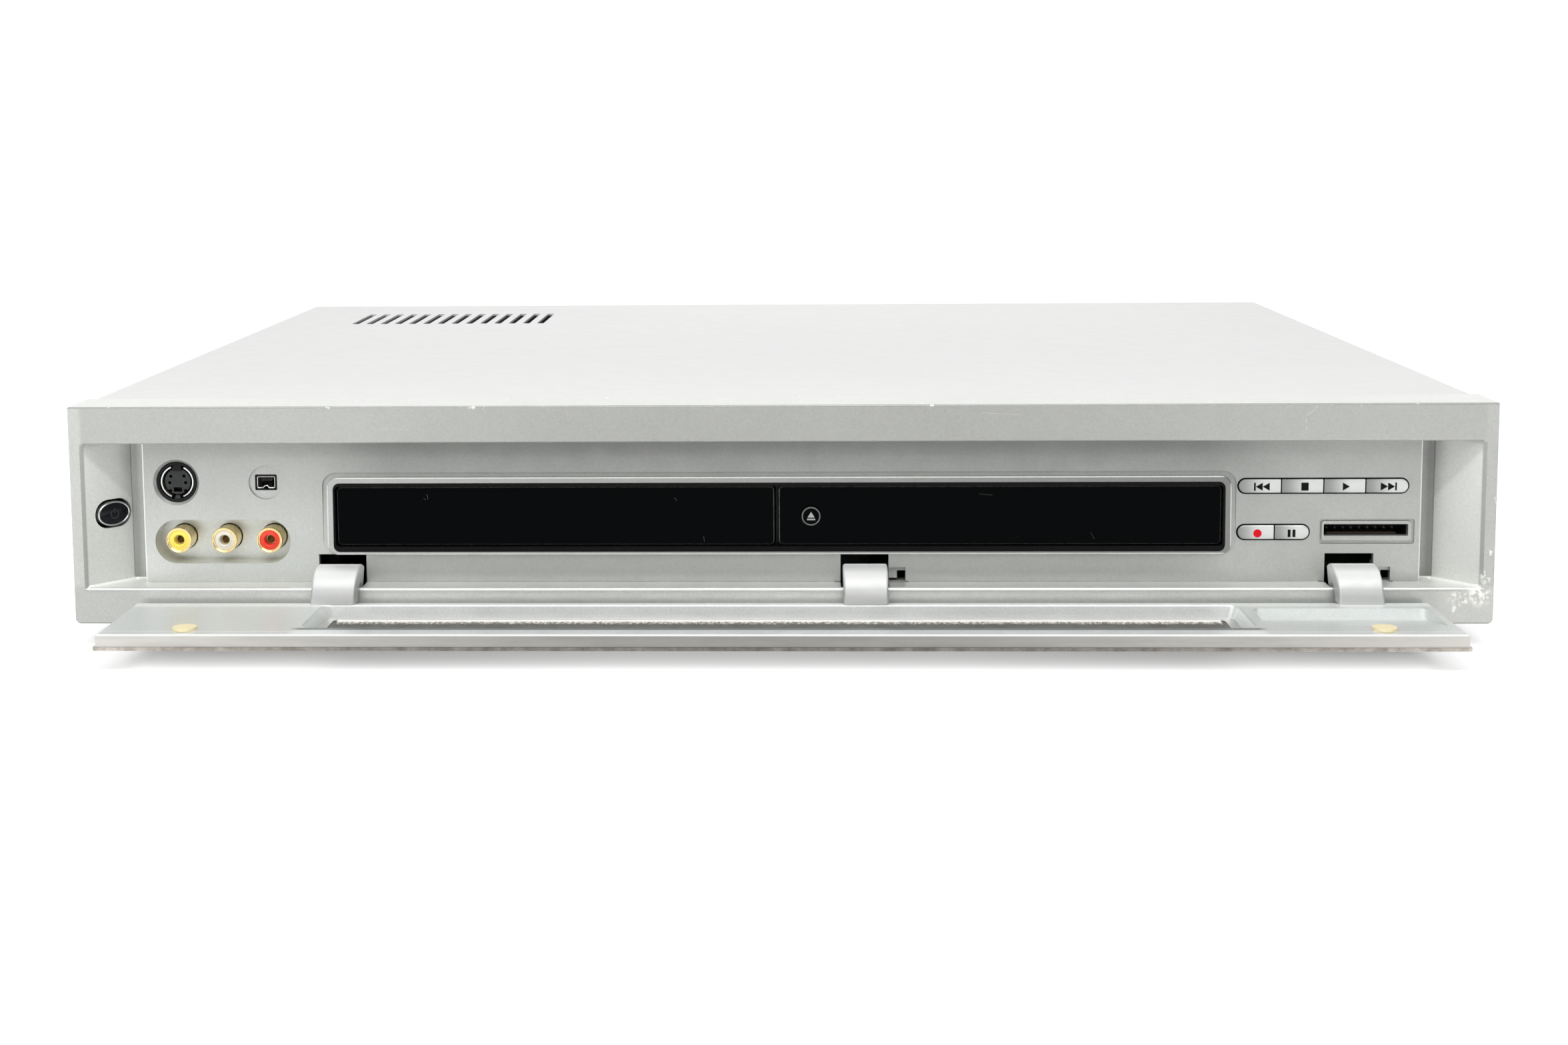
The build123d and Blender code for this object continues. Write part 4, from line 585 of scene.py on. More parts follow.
class Piece:
    """Collects faces in millimetres and makes one object. at(u, v, w) places a point: across, up and out."""

    def __init__(self, name, mats, body, at=None, slot=None, replaces=()):
        self.name, self.mats, self.body = name, mats, body
        self.at = at or (lambda u, v, w: P(u, -w, v))
        self.bm = bmesh.new()
        self.m = 0
        self.rep, self.slot = replaces, slot

    def face(self, vs):
        try:
            f = self.bm.faces.new(vs)
            f.material_index = self.m
            return f
        except ValueError:
            return None

    def vert(self, u, v, w):
        return self.bm.verts.new(self.at(u, v, w))

    def prism(self, pts, w0, w1, taper=0.0):
        """Flat shape with the outline pts, from w0 (back) to w1 (front); taper moves the front outline inwards."""
        n = len(pts)
        cu = sum(p[0] for p in pts) / n
        cv = sum(p[1] for p in pts) / n
        back = [self.vert(u, v, w0) for u, v in pts]
        fr = []
        for u, v in pts:
            d = math.hypot(u - cu, v - cv) or 1.0
            k = 1.0 - taper / d
            fr.append(self.vert(cu + (u - cu) * k, cv + (v - cv) * k, w1))
        for i in range(n):
            j = (i + 1) % n
            self.face((back[i], back[j], fr[j], fr[i]))
        self.face(fr)
        self.face(back[::-1])

    def band(self, path, prof, ends=(False, False), closed=True):
        """Sweeps the profile [(outward offset, w), ...] along path [(u, v, nu, nv), ...]."""
        rings = []
        for u, v, nu, nv in path:
            rings.append([self.vert(u + nu * o, v + nv * o, w) for o, w in prof])
        n = len(rings)
        for i in range(n if closed else n - 1):
            a, b = rings[i], rings[(i + 1) % n]
            for k in range(len(prof) - 1):
                self.face((a[k], b[k], b[k + 1], a[k + 1]))
        if ends[0]:
            self.face([r[0] for r in rings])
        if ends[1]:
            self.face([r[-1] for r in rings][::-1])
        if not closed:
            self.face(rings[0])
            self.face(rings[-1][::-1])

    def tube(self, path, prof):
        """The same with a closed profile."""
        rings = [[self.vert(u + nu * o, v + nv * o, w) for o, w in prof] for u, v, nu, nv in path]
        n, m = len(rings), len(prof)
        for i in range(n):
            a, b = rings[i], rings[(i + 1) % n]
            for k in range(m):
                self.face((a[k], b[k], b[(k + 1) % m], a[(k + 1) % m]))

    def arc(self, cu, cv, a0, a1, prof, n=24):
        """A part of a ring with a closed profile [(radius, w), ...] between two angles."""
        rings = []
        for i in range(n + 1):
            a = math.radians(a0 + (a1 - a0) * i / n)
            rings.append([self.vert(cu + r * math.cos(a), cv + r * math.sin(a), w) for r, w in prof])
        m = len(prof)
        for i in range(n):
            a, b = rings[i], rings[i + 1]
            for k in range(m):
                self.face((a[k], b[k], b[(k + 1) % m], a[(k + 1) % m]))
        self.face(rings[0])
        self.face(rings[-1][::-1])

    def lathe(self, cu, cv, prof, n=64):
        """Turns [(radius, w), ...] round the point; a radius of 0 closes it."""
        rings = []
        for r, w in prof:
            if r <= 1e-6:
                rings.append([self.vert(cu, cv, w)])
            else:
                rings.append([self.vert(cu + r * math.cos(2 * math.pi * i / n), cv + r * math.sin(2 * math.pi * i / n), w) for i in range(n)])
        for a, b in zip(rings, rings[1:]):
            for i in range(n):
                j = (i + 1) % n
                if len(a) == 1 and len(b) == 1:
                    continue
                if len(a) == 1:
                    self.face((a[0], b[i], b[j]))
                elif len(b) == 1:
                    self.face((a[i], a[j], b[0]))
                else:
                    self.face((a[i], a[j], b[j], b[i]))

    def done(self, angle=32.0, bevel=0.0, segments=2):
        bmesh.ops.remove_doubles(self.bm, verts=self.bm.verts, dist=1e-7)
        bmesh.ops.recalc_face_normals(self.bm, faces=self.bm.faces)
        me = bpy.data.meshes.new(self.name)
        self.bm.to_mesh(me)
        self.bm.free()
        for m in self.mats:
            me.materials.append(m)
        me.shade_smooth()
        me.set_sharp_from_angle(angle=math.radians(angle))
        ob = bpy.data.objects.new(self.name, me)
        bpy.context.scene.collection.objects.link(ob)
        if bevel:
            b = ob.modifiers.new("edges", "BEVEL")
            b.width = bevel / 1000.0
            b.segments = segments
            b.limit_method = "ANGLE"
            b.angle_limit = math.radians(35)
            b.harden_normals = True
        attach(ob, self.body)
        if self.rep:
            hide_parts(*self.rep)
        return ob


def circle(cu, cv, r, n=64, a0=0.0):
    return [(cu + r * math.cos(a0 + 2 * math.pi * i / n), cv + r * math.sin(a0 + 2 * math.pi * i / n),
             math.cos(a0 + 2 * math.pi * i / n), math.sin(a0 + 2 * math.pi * i / n)) for i in range(n)]


def rrect(u0, u1, v0, v1, r, n=8):
    """Path round a rectangle with rounded corners, with outward normals."""
    out = []
    for cu, cv, s in ((u1 - r, v1 - r, 0), (u0 + r, v1 - r, 90), (u0 + r, v0 + r, 180), (u1 - r, v0 + r, 270)):
        for i in range(n + 1):
            a = math.radians(s + 90.0 * i / n)
            out.append((cu + r * math.cos(a), cv + r * math.sin(a), math.cos(a), math.sin(a)))
    return out


def flat(path):
    return [(p[0], p[1]) for p in path]


def front_at(y0):
    """Places points on the plane y = y0: across = +x, up = +z, out = towards the viewer."""
    return lambda u, v, w: P(u, y0 - w, v)


def back_at(y0):
    return lambda u, v, w: P(-u, y0 + w, v)


def top_at(z0):
    return lambda u, v, w: P(u, v, z0 + w)


# ------------------------------------------------------------------ the pieces
def key_marks():
    """Printed signs on the keys, 0.03 mm thick."""
    h = 1.22
    z1, z2 = 47.45, 33.1
    blk, red = [M["mark_black"]], [M["mark_red"]]
    y = 8.3
    p = Piece("previous_mark", blk, "previous_key", front_at(y))
    p.prism([(144.75, z1 - h), (145.25, z1 - h), (145.25, z1 + h), (144.75, z1 + h)], -0.02, 0.03)
    p.prism([(145.28, z1), (147.35, z1 - h), (147.35, z1 + h)], -0.02, 0.03)
    p.prism([(147.37, z1), (149.45, z1 - h), (149.45, z1 + h)], -0.02, 0.03)
    p.done()
    p = Piece("stop_mark", blk, "stop_key", front_at(y))
    p.prism(flat(rrect(158.95, 161.15, z1 - h, z1 + h, 0.12, 3)), -0.02, 0.03)
    p.done()
    p = Piece("play_mark", blk, "play_key", front_at(y))
    p.prism([(171.4, z1 - h), (173.5, z1), (171.4, z1 + h)], -0.02, 0.03)
    p.done()
    p = Piece("next_mark", blk, "next_key", front_at(y))
    p.prism([(182.75, z1 - h), (184.93, z1), (182.75, z1 + h)], -0.02, 0.03)
    p.prism([(184.95, z1 - h), (187.05, z1), (184.95, z1 + h)], -0.02, 0.03)
    p.prism([(187.07, z1 - h), (187.57, z1 - h), (187.57, z1 + h), (187.07, z1 + h)], -0.02, 0.03)
    p.done()
    p = Piece("record_mark", red, "record_key", front_at(y))
    p.prism(flat(circle(146.05, z2, 1.25, 40)), -0.02, 0.03)
    p.done()
    p = Piece("pause_mark", blk, "pause_key", front_at(y))
    p.prism(flat(rrect(155.15, 156.03, z2 - 1.15, z2 + 1.15, 0.08, 2)), -0.02, 0.03)
    p.prism(flat(rrect(156.60, 157.48, z2 - 1.15, z2 + 1.15, 0.08, 2)), -0.02, 0.03)
    p.done()


def eject_key_face():
    p = Piece("eject_face", [M["pane_black"], M["ring_dark"], M["mark_grey"]], "eject_key", front_at(10.1), slot="black_gloss",
              replaces=("eject_button",))
    x, z = 10.7, 38.2
    p.m = 0
    p.lathe(x, z, [(0.0, 0.0), (1.2, 0.0), (2.45, -0.02), (2.5, -0.03)])
    p.m = 1
    p.lathe(x, z, [(2.5, -0.03), (2.62, 0.05), (2.78, 0.02), (2.9, -0.14), (2.95, -0.3)])
    p.m = 0
    p.lathe(x, z, [(2.95, -0.3), (2.95, -3.5), (1.4, -3.5), (1.4, -6.1), (0.0, -6.1)])
    p.m = 2
    p.prism([(x - 1.1, z - 0.35), (x + 1.1, z - 0.35), (x, z + 1.4)], -0.01, 0.03)
    p.prism([(x - 1.25, z - 1.17), (x + 1.25, z - 1.17), (x + 1.25, z - 0.7), (x - 1.25, z - 0.7)], -0.01, 0.03)
    p.done(angle=40)


SL = (0.6547, 0.7559)      # direction of the slanted left cheek, seen from above
NR = (0.7559, -0.6547)     # outward, square to the cheek
PWC = (-204.56, 8.235, 39.9)


def power_at(u, v, w):
    return P(PWC[0] + u * SL[0] + w * NR[0], PWC[1] + u * SL[1] + w * NR[1], PWC[2] + v)


def oval(a, b, k=2.25, n=96):
    """Path round an oval a little fuller than an ellipse, with outward normals."""
    out = []
    for i in range(n):
        t = 2 * math.pi * i / n
        c, s = math.cos(t), math.sin(t)
        u = a * math.copysign(abs(c) ** (2 / k), c)
        v = b * math.copysign(abs(s) ** (2 / k), s)
        nu = math.copysign(abs(u / a) ** (k - 1), u) / a
        nv = math.copysign(abs(v / b) ** (k - 1), v) / b
        d = math.hypot(nu, nv)
        out.append((u, v, nu / d, nv / d))
    return out


def power_key_face():
    p = Piece("power_face", [M["dome_black"], M["lip_chrome"], M["mark_dim"]], "power_key", power_at, slot="black_gloss", replaces=("power_button",))
    r = 3.86
    path = oval(5.62, r, 2.05)
    p.m = 1
    p.band(path, [(0.0, -2.2), (0.0, 0.34), (-0.06, 0.56), (-0.18, 0.71), (-0.33, 0.77), (-0.50, 0.72), (-0.62, 0.58), (-0.66, 0.46)], ends=(True, False))
    p.m = 0
    prof = [(-0.66, 0.46)]
    for i in range(1, 9):
        t = i / 8.0
        prof.append((-0.66 - (r - 0.66 - 0.05) * t, 0.46 + 0.36 * math.sin(t * math.pi / 2)))
    p.band(path, prof, ends=(False, True))
    p.m = 2
    ring = []
    p.arc(0.0, -0.15, 125, 415, [(1.12, 0.79), (1.12, 0.855), (1.50, 0.855), (1.50, 0.79)], 30)
    p.prism([(-0.19, 0.1), (0.19, 0.1), (0.19, 1.6), (-0.19, 1.6)], 0.77, 0.86)
    p.done(angle=50)


def phono_sockets():
    """Gold shells with a rolled lip, and coloured insulators with a raised collar."""
    y0 = 9.9
    p = Piece("phono_shell_rings", [M["gold"]], "base", front_at(y0), slot="gold", replaces=("phono_shells",))
    for x in (-184.9, -170.75, -156.65):
        p.lathe(x, 31.0, [(3.12, -0.75), (3.12, -0.28), (3.2, -0.2), (3.42, -0.2), (3.5, -0.12), (3.58, 0.0), (3.72, 0.07), (3.88, 0.04), (3.98, -0.1),
                          (4.0, -0.3), (4.0, -1.5), (3.9, -1.6), (3.9, -11.9), (3.2, -11.9), (3.2, -0.75), (3.12, -0.75)], 72)
    p.done(angle=40)
    for nm, x in (("yellow", -184.9), ("white", -170.75), ("red", -156.65)):
        p = Piece("phono_core_" + nm, [M["insulator_" + nm]], "base", front_at(y0), slot="insulator_" + nm, replaces=("phono_insulator_" + nm,))
        p.lathe(x, 31.0, [(3.1, -11.9), (3.1, -0.5), (3.0, -0.42), (2.2, -0.4), (2.12, -0.35), (2.02, -0.16), (1.9, -0.1), (1.78, -0.14), (1.6, -0.4), (1.55, -1.0),
                          (1.5, -11.9), (3.1, -11.9)], 64)
        p.done(angle=40)
        p = Piece("phono_contact_" + nm, [M["contact_brass"]], "base", front_at(y0), slot="gold")
        p.lathe(x, 31.0, [(0.0, -9.0), (1.5, -9.0), (1.5, -2.6), (1.22, -2.6), (1.22, -8.6), (0.0, -8.6)], 40)
        p.done()


def mini_din():
    """Black ring with a round insert, four holes, a wide slot and a split metal shield."""
    x, z, y0 = -184.9, 49.3, 9.75
    p = Piece("mini_din_insert", [M["socket_black"], M["socket_grey"]], "base", front_at(y0), slot="black_matte", replaces=("mini_din_body",))
    p.m = 0
    p.lathe(x, z, [(6.25, -8.0), (6.25, -0.25), (6.12, -0.05), (5.95, 0.0), (5.55, 0.0), (5.4, -0.12), (5.32, -0.5), (5.3, -5.2), (0.0, -5.2)], 96)
    p.m = 0
    p.prism(flat(rrect(x - 7, x + 7, z - 7, z + 7, 0.4, 2)), -15.8, -8.0)
    # keyway at the top, and the lug at the bottom
    p.prism(flat(rrect(x - 1.3, x + 1.3, z + 3.35, z + 5.25, 0.15, 2)), -5.0, -0.7)
    p.m = 1
    p.prism([(x - 0.95, z - 5.35), (x + 0.95, z - 5.35), (x + 0.6, z - 4.2), (x - 0.6, z - 4.2)], -5.0, -0.5)
    # insert: a disc with a cut outline and round holes, built as a ring of wedges round each hole
    holes = [(-2.13, 1.65), (2.0, 1.7), (-2.5, -0.35), (2.47, -0.35)]
    R = 3.95
    outline = []
    for i in range(96):
        a = math.radians(i * 360.0 / 96)
        deg = i * 360.0 / 96
        r = R
        if 222 < deg < 240 or 300 < deg < 318:
            r = R - 0.75
        outline.append((x + r * math.cos(a), z + r * math.sin(a)))
    slotp = [(x - 1.3, z - 3.15), (x + 1.3, z - 3.15), (x + 1.3, z - 1.8), (x - 1.3, z - 1.8)]
    build_holed(p, outline, [[(x + hx + 0.5 * math.cos(math.radians(t * 30)), z + hz + 0.5 * math.sin(math.radians(t * 30))) for t in range(12)] for hx, hz in holes] + [slotp],
                -5.1, -1.15, -3.6)
    p.done(angle=35)
    p = Piece("mini_din_shell", [M["shell_steel"]], "base", front_at(y0), slot="plain_steel", replaces=("mini_din_shield",))
    prof = [(4.60, -5.0), (4.60, -0.70), (4.70, -0.56), (5.05, -0.52), (5.16, -0.66), (5.16, -5.0)]
    p.arc(x, z, 112, 248, prof, 40)
    p.arc(x, z, -68, 64, prof, 40)
    p.done(angle=40)


def build_holed(p, outline, holes, w0, w1, wh):
    """Plate with the outline and holes: the holes are blind, down to wh."""
    bm = p.bm
    edges = []
    loops = []
    for lp in [outline] + holes:
        vs = [p.vert(u, v, w1) for u, v in lp]
        loops.append(vs)
        for i in range(len(vs)):
            edges.append(bm.edges.new((vs[i], vs[(i + 1) % len(vs)])))
    res = bmesh.ops.triangle_fill(bm, edges=edges, use_beauty=True, use_dissolve=False)
    for g in res["geom"]:
        if isinstance(g, bmesh.types.BMFace):
            g.material_index = p.m
    base = [p.vert(u, v, w0) for u, v in outline]
    n = len(base)
    for i in range(n):
        p.face((loops[0][i], loops[0][(i + 1) % n], base[(i + 1) % n], base[i]))
    p.face(base)
    for lp, vs in zip(holes, loops[1:]):
        bot = [p.vert(u, v, wh) for u, v in lp]
        m = len(bot)
        keep = p.m
        p.m = 0
        for i in range(m):
            p.face((vs[i], vs[(i + 1) % m], bot[(i + 1) % m], bot[i]))
        p.face(bot)
        p.m = keep


def digital_port():
    """Small rectangular socket: a thin metal shell with a bump in its lower side, black inside, five contacts."""
    x, z, y0 = -157.1, 49.2, 9.55
    p = Piece("digital_body", [M["socket_black"]], "base", front_at(y0), slot="black_matte", replaces=("digital_port",))
    p.tube(rrect(x - 3.3, x + 3.3, z - 2.3, z + 2.3, 0.25, 4), [(0.0, -16.0), (0.0, -0.15), (-0.08, -0.05), (-0.3, -0.05), (-0.36, -0.2), (-0.36, -6.6), (-0.36, -16.0)])
    p.prism(flat(rrect(x - 2.95, x + 2.95, z - 1.95, z + 1.95, 0.2, 3)), -16.0, -6.6)
    p.prism([(x - 1.9, z + 0.5), (x + 1.9, z + 0.5), (x + 1.9, z + 1.25), (x - 1.9, z + 1.25)], -6.6, -1.6)
    p.done()
    p = Piece("digital_shell", [M["shell_steel"]], "base", front_at(y0), slot="plain_steel")
    pts = []
    a, b, r = 2.82, 1.86, 0.35
    corner = lambda cu, cv, s: [(cu + r * math.cos(math.radians(s + 15 * i)), cv + r * math.sin(math.radians(s + 15 * i))) for i in range(7)]
    pts += corner(a - r, b - r, 0)
    pts += corner(-a + r, b - r, 90)
    pts += corner(-a + r, -b + r, 180)
    pts += [(-1.05, -b), (-0.7, -b + 0.12), (-0.5, -b + 0.5), (-0.25, -b + 0.68), (0.25, -b + 0.68), (0.5, -b + 0.5), (0.7, -b + 0.12), (1.05, -b)]
    pts += corner(a - r, -b + r, 270)
    n = len(pts)
    path = []
    for i in range(n):
        (u0, v0), (u1, v1) = pts[i - 1], pts[(i + 1) % n]
        du, dv = u1 - u0, v1 - v0
        d = math.hypot(du, dv) or 1.0
        path.append((x + pts[i][0], z + pts[i][1], dv / d, -du / d))
    p.tube(path, [(0.0, -6.4), (0.0, -0.32), (-0.1, -0.24), (-0.24, -0.32), (-0.24, -6.4)])
    p.done(angle=45)
    p = Piece("digital_contacts", [M["contact_brass"]], "base", front_at(y0), slot="gold")
    for i in range(4):
        u = x - 1.2 + 0.8 * i
        p.prism([(u - 0.13, z + 0.42), (u + 0.13, z + 0.42), (u + 0.13, z + 0.56), (u - 0.13, z + 0.56)], -6.4, -1.7)
    p.done()


def card_details():
    """Contact springs and the lower guide, seen inside the card slot."""
    p = Piece("card_contacts", [M["contact_dim"]], "base", front_at(0.0), slot="gold")
    for i in range(9):
        u = 168.2 + 2.48 * i
        p.prism([(u - 0.22, 33.55), (u + 0.22, 33.55), (u + 0.16, 34.15), (u - 0.16, 34.15)], -16.5, -14.3, 0.05)
        p.prism([(u - 0.2, 33.5), (u + 0.2, 33.5), (u + 0.2, 33.72), (u - 0.2, 33.72)], -18.0, -14.0)
    p.done()
    p = Piece("card_guide", [M["card_olive"]], "base", front_at(0.0), slot="black_matte")
    p.prism(flat(rrect(167.4, 188.6, 32.2, 32.75, 0.1, 2)), -17.8, -12.0, 0.0)
    p.done(bevel=0.08)


def pane(name, node, body, x0, x1, hole=None, back=13.0, slot="smoke_pane"):
    """Gloss pane with ground edges, in the place of the plain CAD pane."""
    p = Piece(name, [M["pane_black"], M["pane_edge"]], body, front_at(10.7), slot=slot, replaces=(node,))
    z0, z1 = 29.4, 47.4
    outer = rrect(x0, x1, z0, z1, 1.3, 8)
    d = back - 10.7
    p.m = 1
    p.band(outer, [(0.0, -d), (0.0, -0.22), (-0.22, 0.0)])
    p.m = 0
    inner = [(u - nu * 0.22, v - nv * 0.22) for u, v, nu, nv in outer]
    if hole:
        cx, cz, r = hole
        hp = [(cx + r * math.cos(2 * math.pi * i / 48), cz + r * math.sin(2 * math.pi * i / 48)) for i in range(48)]
        for w, outl in ((0.0, inner), (-d, [(u, v) for u, v, _, _ in outer])):
            edges = []
            for lp in (outl, hp):
                vs = [p.vert(u, v, w) for u, v in lp]
                for i in range(len(vs)):
                    edges.append(p.bm.edges.new((vs[i], vs[(i + 1) % len(vs)])))
            res = bmesh.ops.triangle_fill(p.bm, edges=edges, use_beauty=True, use_dissolve=False)
        p.m = 1
        p.band([(cx + r * math.cos(2 * math.pi * i / 48), cz + r * math.sin(2 * math.pi * i / 48), -math.cos(2 * math.pi * i / 48), -math.sin(2 * math.pi * i / 48))
                for i in range(48)], [(0.0, 0.0), (0.0, -d)])
    else:
        p.face([p.vert(u, v, 0.0) for u, v in inner])
        p.face([p.vert(u, v, -d) for u, v, _, _ in outer])
    return p.done(angle=20)


def window_tape():
    """White strip that holds the flap's pane, with a torn front edge, and the worn film in front of it."""
    p = Piece("window_tape", [M["tape_white"], M["tape_worn"]], "flap", top_at(10.65), slot="gear_white")
    n = 260
    x0, x1 = -131.6, 131.6
    y0 = -164.25 - SHIFT_Y
    p.m = 1
    p.prism(flat(rrect(x0, x1, y0 - 5.2, y0 - 0.6, 0.3, 3)), -0.02, 0.02)
    p.m = 0
    rows = []
    for i in range(n + 1):
        u = x0 + (x1 - x0) * i / n
        k = 0.5 * math.sin(i * 1.7) + 0.3 * math.sin(i * 4.9 + 1.0) + 0.35 * math.sin(i * 0.53 + 2.0) + 0.25 * math.sin(i * 11.3)
        y1 = y0 - 1.75 + 0.16 * k
        rows.append([p.vert(u, y0, 0.0), p.vert(u, y0, 0.12), p.vert(u, y1 + 0.08, 0.12), p.vert(u, y1, 0.05), p.vert(u, y1, 0.0)])
    for a, b in zip(rows, rows[1:]):
        for j in range(5):
            p.face((a[j], b[j], b[(j + 1) % 5], a[(j + 1) % 5]))
    p.face(rows[0])
    p.face(rows[-1][::-1])
    p.done(angle=40)


def rear_details():
    """Coloured collars and centre contacts of the rear sockets, the inlet's pins, screw recesses."""
    cols = {"yellow": M["insulator_yellow"], "white": M["insulator_white"], "red": M["insulator_red"], "green": M["collar_green"], "blue": M["collar_blue"],
            "black": M["socket_black"]}
    rows = {46.5: ("yellow", "white", "red", "white", "red", "black"), 31.5: ("green", "blue", "red", "white", "red", "yellow")}
    for k in sorted(set(c for r in rows.values() for c in r)):
        p = Piece("rear_collars_" + k, [cols[k], M["gold"]], "base", back_at(344.0), slot="black_matte")
        for z, names in rows.items():
            for i, c in enumerate(names):
                if c != k:
                    continue
                x = -(40 + 20 * i)
                p.m = 0
                p.lathe(x, z, [(4.12, 1.62), (5.6, 1.62), (5.75, 1.8), (5.75, 2.6), (5.5, 2.85), (4.12, 2.85), (4.12, 1.62)], 48)
                p.lathe(x, z, [(1.72, 7.4), (1.8, 7.7), (2.2, 7.85), (3.0, 7.85), (3.3, 7.6), (3.3, 7.2), (1.72, 7.2), (1.72, 7.4)], 40)
                p.m = 1
                p.lathe(x, z, [(3.32, 7.2), (3.32, 7.8), (3.5, 8.0), (3.9, 8.0), (4.14, 7.8), (4.14, 2.9), (4.1, 2.9), (4.1, 7.2), (3.32, 7.2)], 48)
        p.done(angle=40)
    p = Piece("inlet_pins", [M["shell_steel"]], "base", back_at(342.5), slot="plain_steel")
    for s in (-1, 1):
        p.lathe(178.0 + s * 3.3, 28.0, [(0.0, 0.55), (0.7, 0.5), (1.05, 0.3), (1.2, 0.0), (1.2, -8.0), (0.0, -8.0)], 32)
    p.done()
    p = Piece("aerial_sockets", [M["shell_steel"], M["socket_grey"]], "base", back_at(344.0), slot="plain_steel")
    for z in (32.0, 46.0):
        p.m = 0
        p.lathe(-180.0, z, [(4.72, 0.65), (6.1, 0.65), (6.1, 1.4), (5.9, 1.6), (4.72, 1.6), (4.72, 0.65)], 6)
        p.m = 1
        p.lathe(-180.0, z, [(0.0, 1.0), (3.38, 1.0), (3.38, 0.6), (0.0, 0.6)], 32)
        p.m = 0
        p.lathe(-180.0, z, [(0.0, 4.6), (0.5, 4.6), (0.6, 4.3), (0.6, 0.9), (0.0, 0.9)], 20)
    p.done()
    # painted shade: cross recesses of the screws as thin near-black crosses, standing for the shade inside them
    p = Piece("screw_crosses", [M["recess_dark"]], "base", back_at(345.3), slot="plain_steel")
    for x in (195.0, 10.0, -205.0):
        c, l = 0.42, 1.75
        p.prism([(x - c, 62 + c), (x - c, 62 + l), (x + c, 62 + l), (x + c, 62 + c), (x + l, 62 + c), (x + l, 62 - c), (x + c, 62 - c), (x + c, 62 - l), (x - c, 62 - l),
                 (x - c, 62 - c), (x - l, 62 - c), (x - l, 62 + c)], -0.3, 0.02)
    p.done()
    for s in (-1, 1):
        p = Piece("side_screw_crosses_" + ("left" if s < 0 else "right"), [M["recess_dark"]], "base",
                  (lambda s_: (lambda u, v, w: P(s_ * (214.95 + w), u, v)))(s), slot="plain_steel")
        for y in (60.0, 190.0):
            c, l = 0.42, 1.75
            p.prism([(y - c, 15.5 + c), (y - c, 15.5 + l), (y + c, 15.5 + l), (y + c, 15.5 + c), (y + l, 15.5 + c), (y + l, 15.5 - c), (y + c, 15.5 - c), (y + c, 15.5 - l),
                     (y - c, 15.5 - l), (y - c, 15.5 - c), (y - l, 15.5 - c), (y - l, 15.5 + c)], -0.3, 0.02)
        p.done()


key_marks()
eject_key_face()
power_key_face()
phono_sockets()
mini_din()
digital_port()
card_details()
pane("tray_door_pane", "tray_door", "tray", -135.4, -0.6, back=13.4, slot="smoke_pane")
pane("display_pane", "display_window", "base", 0.9, 135.4, hole=(10.7, 38.2, 3.3), back=12.75, slot="display_glass")
window_tape()
rear_details()

# ------------------------------------------------------------- floor and light
POWER = {"world": 0.25, "patch": 0.3, "sky_back": 0.82, "front_high": 9.5, "front_top": 14.5, "front_left": 3.0, "top_back": 0.09, "floor": 0.62}


def stage_floor():
    me = bpy.data.meshes.new("floor")
    me.from_pydata([(-12, -6, 0), (12, -6, 0), (12, 30, 0), (-12, 30, 0)], [], [(0, 1, 2, 3)])
    ob = bpy.data.objects.new("floor", me)
    bpy.context.scene.collection.objects.link(ob)
    t = Tree("floor_white")
    c = t.mix(t.noise(3.0, 2.0), (0.49, 0.49, 0.49), (0.51, 0.51, 0.51))
    X, Y, Z = t.xyz()
    far = t.math("SQRT", t.math("ADD", t.math("MULTIPLY", X, X), t.math("MULTIPLY", Y, Y)))
    glow = t.remap(far, 0.45, 1.6, POWER["floor"], 1.02, True)
    # soft shadow of the flap, ending a little in front of it
    ax = t.math("ABSOLUTE", X)
    s = t.remap(Y, -0.160, -0.182, 0.0, 1.0)
    low = t.math("ADD", t.math("ADD", 0.36, t.math("MULTIPLY", s, 0.34)), t.math("MULTIPLY", t.math("POWER", s, 4.0), 0.28))
    low = t.math("SUBTRACT", low, t.remap(ax, 0.05, 0.17, 0.0, 0.14))
    low = t.mixf(t.remap(ax, 0.188, 0.196, 0.0, 1.0), low, 0.45)
    low = t.mixf(t.remap(ax, 0.200, 0.215, 0.0, 1.0), low, POWER["floor"])
    glow = t.mixf(t.math("MULTIPLY", t.remap(Y, -0.1828, -0.1820, 0.0, 1.0), t.remap(Y, -0.10, -0.13, 0.0, 1.0)), glow, low)
    front = t.math("MULTIPLY", t.remap(Y, -0.1812, -0.1824, 0.0, 1.0), t.remap(Y, -0.30, -0.21, 0.0, 1.0))
    glow = t.mixf(t.math("MULTIPLY", front, t.remap(ax, 0.25, 0.21, 0.0, 1.0)), glow, 1.0)
    t.set(color=c, rough=0.9, spec=0.0, emit=glow, emit_color=(1.0, 1.0, 1.0))
    me.materials.append(t.mat)


stage_floor()


def area(name, loc, aim, sx, sy, col=(1, 1, 1)):
    d = bpy.data.lights.new(name, "AREA")
    d.shape = "RECTANGLE"
    d.size = sx
    d.size_y = sy
    d.energy = POWER[name]
    d.color = col
    ob = bpy.data.objects.new(name, d)
    ob.location = loc
    ob.rotation_euler = (Vector(aim) - Vector(loc)).to_track_quat("-Z", "Y").to_euler()
    bpy.context.scene.collection.objects.link(ob)
    return ob


area("front_high", (0.0, -1.2, 1.0), (0, -0.15, 0.03), 1.2, 0.7)
area("front_top", (0.0, -0.65, 1.35), (0, -0.17, 0.02), 1.6, 0.5)
area("front_left", (-1.0, -1.0, 0.45), (-0.05, -0.15, 0.04), 0.8, 0.7)
area("top_back", (0.0, 0.27, 0.70), (0.0, 0.20, 0.07), 0.5, 0.12).data.spread = math.radians(44.0)


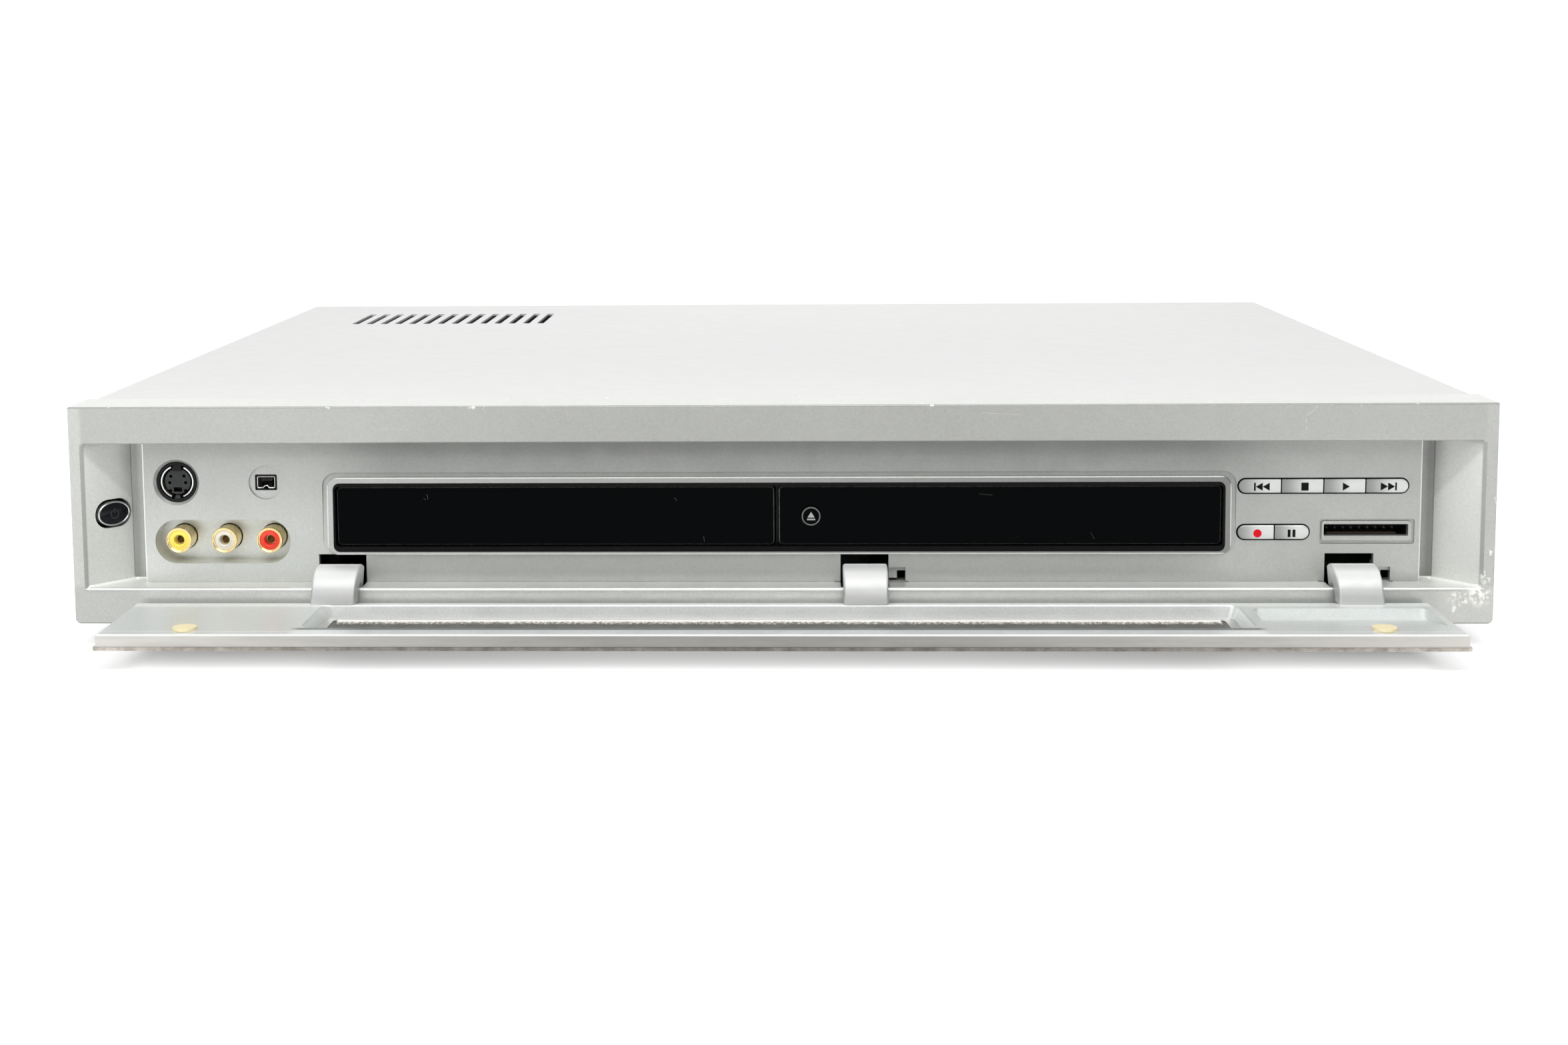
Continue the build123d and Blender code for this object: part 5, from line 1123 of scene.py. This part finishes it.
def studio_world():
    """White room: a little brighter behind the object, darker where the viewer stands."""
    w = bpy.data.worlds.new("studio")
    bpy.context.scene.world = w
    w.use_nodes = True
    nt = w.node_tree
    bg = nt.nodes["Background"]
    tc = nt.nodes.new("ShaderNodeTexCoord")
    xyz = nt.nodes.new("ShaderNodeSeparateXYZ")
    nt.links.new(tc.outputs["Generated"], xyz.inputs[0])

    def m(op, a, b=0.0):
        n = nt.nodes.new("ShaderNodeMath")
        n.operation = op
        for i, v in enumerate((a, b)):
            if isinstance(v, bpy.types.NodeSocket):
                nt.links.new(v, n.inputs[i])
            else:
                n.inputs[i].default_value = v
        return n.outputs[0]

    def step(v, a, b):
        n = nt.nodes.new("ShaderNodeMapRange")
        n.interpolation_type = "SMOOTHSTEP"
        nt.links.new(v, n.inputs[0])
        n.inputs[1].default_value = a
        n.inputs[2].default_value = b
        return n.outputs[0]

    X, Y, Z = xyz.outputs
    az = m("MULTIPLY", m("ARCTAN2", X, m("MULTIPLY", Y, -1.0)), 57.29578)
    el = m("MULTIPLY", m("ARCSINE", Z), 57.29578)
    patch = m("MULTIPLY", m("MULTIPLY", step(az, -14.0, 0.0), step(az, 60.0, 30.0)), m("MULTIPLY", step(el, -20.0, -5.0), step(el, 45.0, 25.0)))
    back = step(Y, 0.1, 0.6)
    k = m("ADD", m("SUBTRACT", POWER["world"], m("MULTIPLY", patch, POWER["world"] * (1.0 - POWER["patch"]))), m("MULTIPLY", back, POWER["sky_back"]))
    bg.inputs[0].default_value = (1, 1, 1, 1)
    nt.links.new(k, bg.inputs[1])


studio_world()

sc = bpy.context.scene
sc.view_settings.view_transform = "Standard"
sc.view_settings.look = "None"
sc.view_settings.exposure = 0.0
sc.view_settings.gamma = 1.0

# ---------------------------------------------------------------------- camera
yaw, pit, rol = math.radians(-2.034), math.radians(6.648), math.radians(-0.460)
fwd = Vector((math.sin(yaw) * math.cos(pit), math.cos(yaw) * math.cos(pit), -math.sin(pit)))
right = Vector((math.cos(yaw), -math.sin(yaw), 0.0))
up = right.cross(fwd)
r2 = right * math.cos(rol) + up * math.sin(rol)
u2 = -right * math.sin(rol) + up * math.cos(rol)
cd = bpy.data.cameras.new("camera")
cam = bpy.data.objects.new("camera", cd)
sc.collection.objects.link(cam)
m3 = Matrix((r2, u2, -fwd)).transposed()
cam.matrix_world = Matrix.Translation(P(5.9, -661.4, 163.1)) @ m3.to_4x4()
cd.sensor_fit = "HORIZONTAL"
cd.sensor_width = 36.0
cd.lens = 3334.6 * 36.0 / 2352.0
cd.shift_x = (1176.0 - 1074.6) / 2352.0
cd.shift_y = (548.8 - 784.0) / 2352.0
cd.clip_start = 0.05
cd.clip_end = 100.0
sc.camera = cam

bpy.context.view_layer.update()
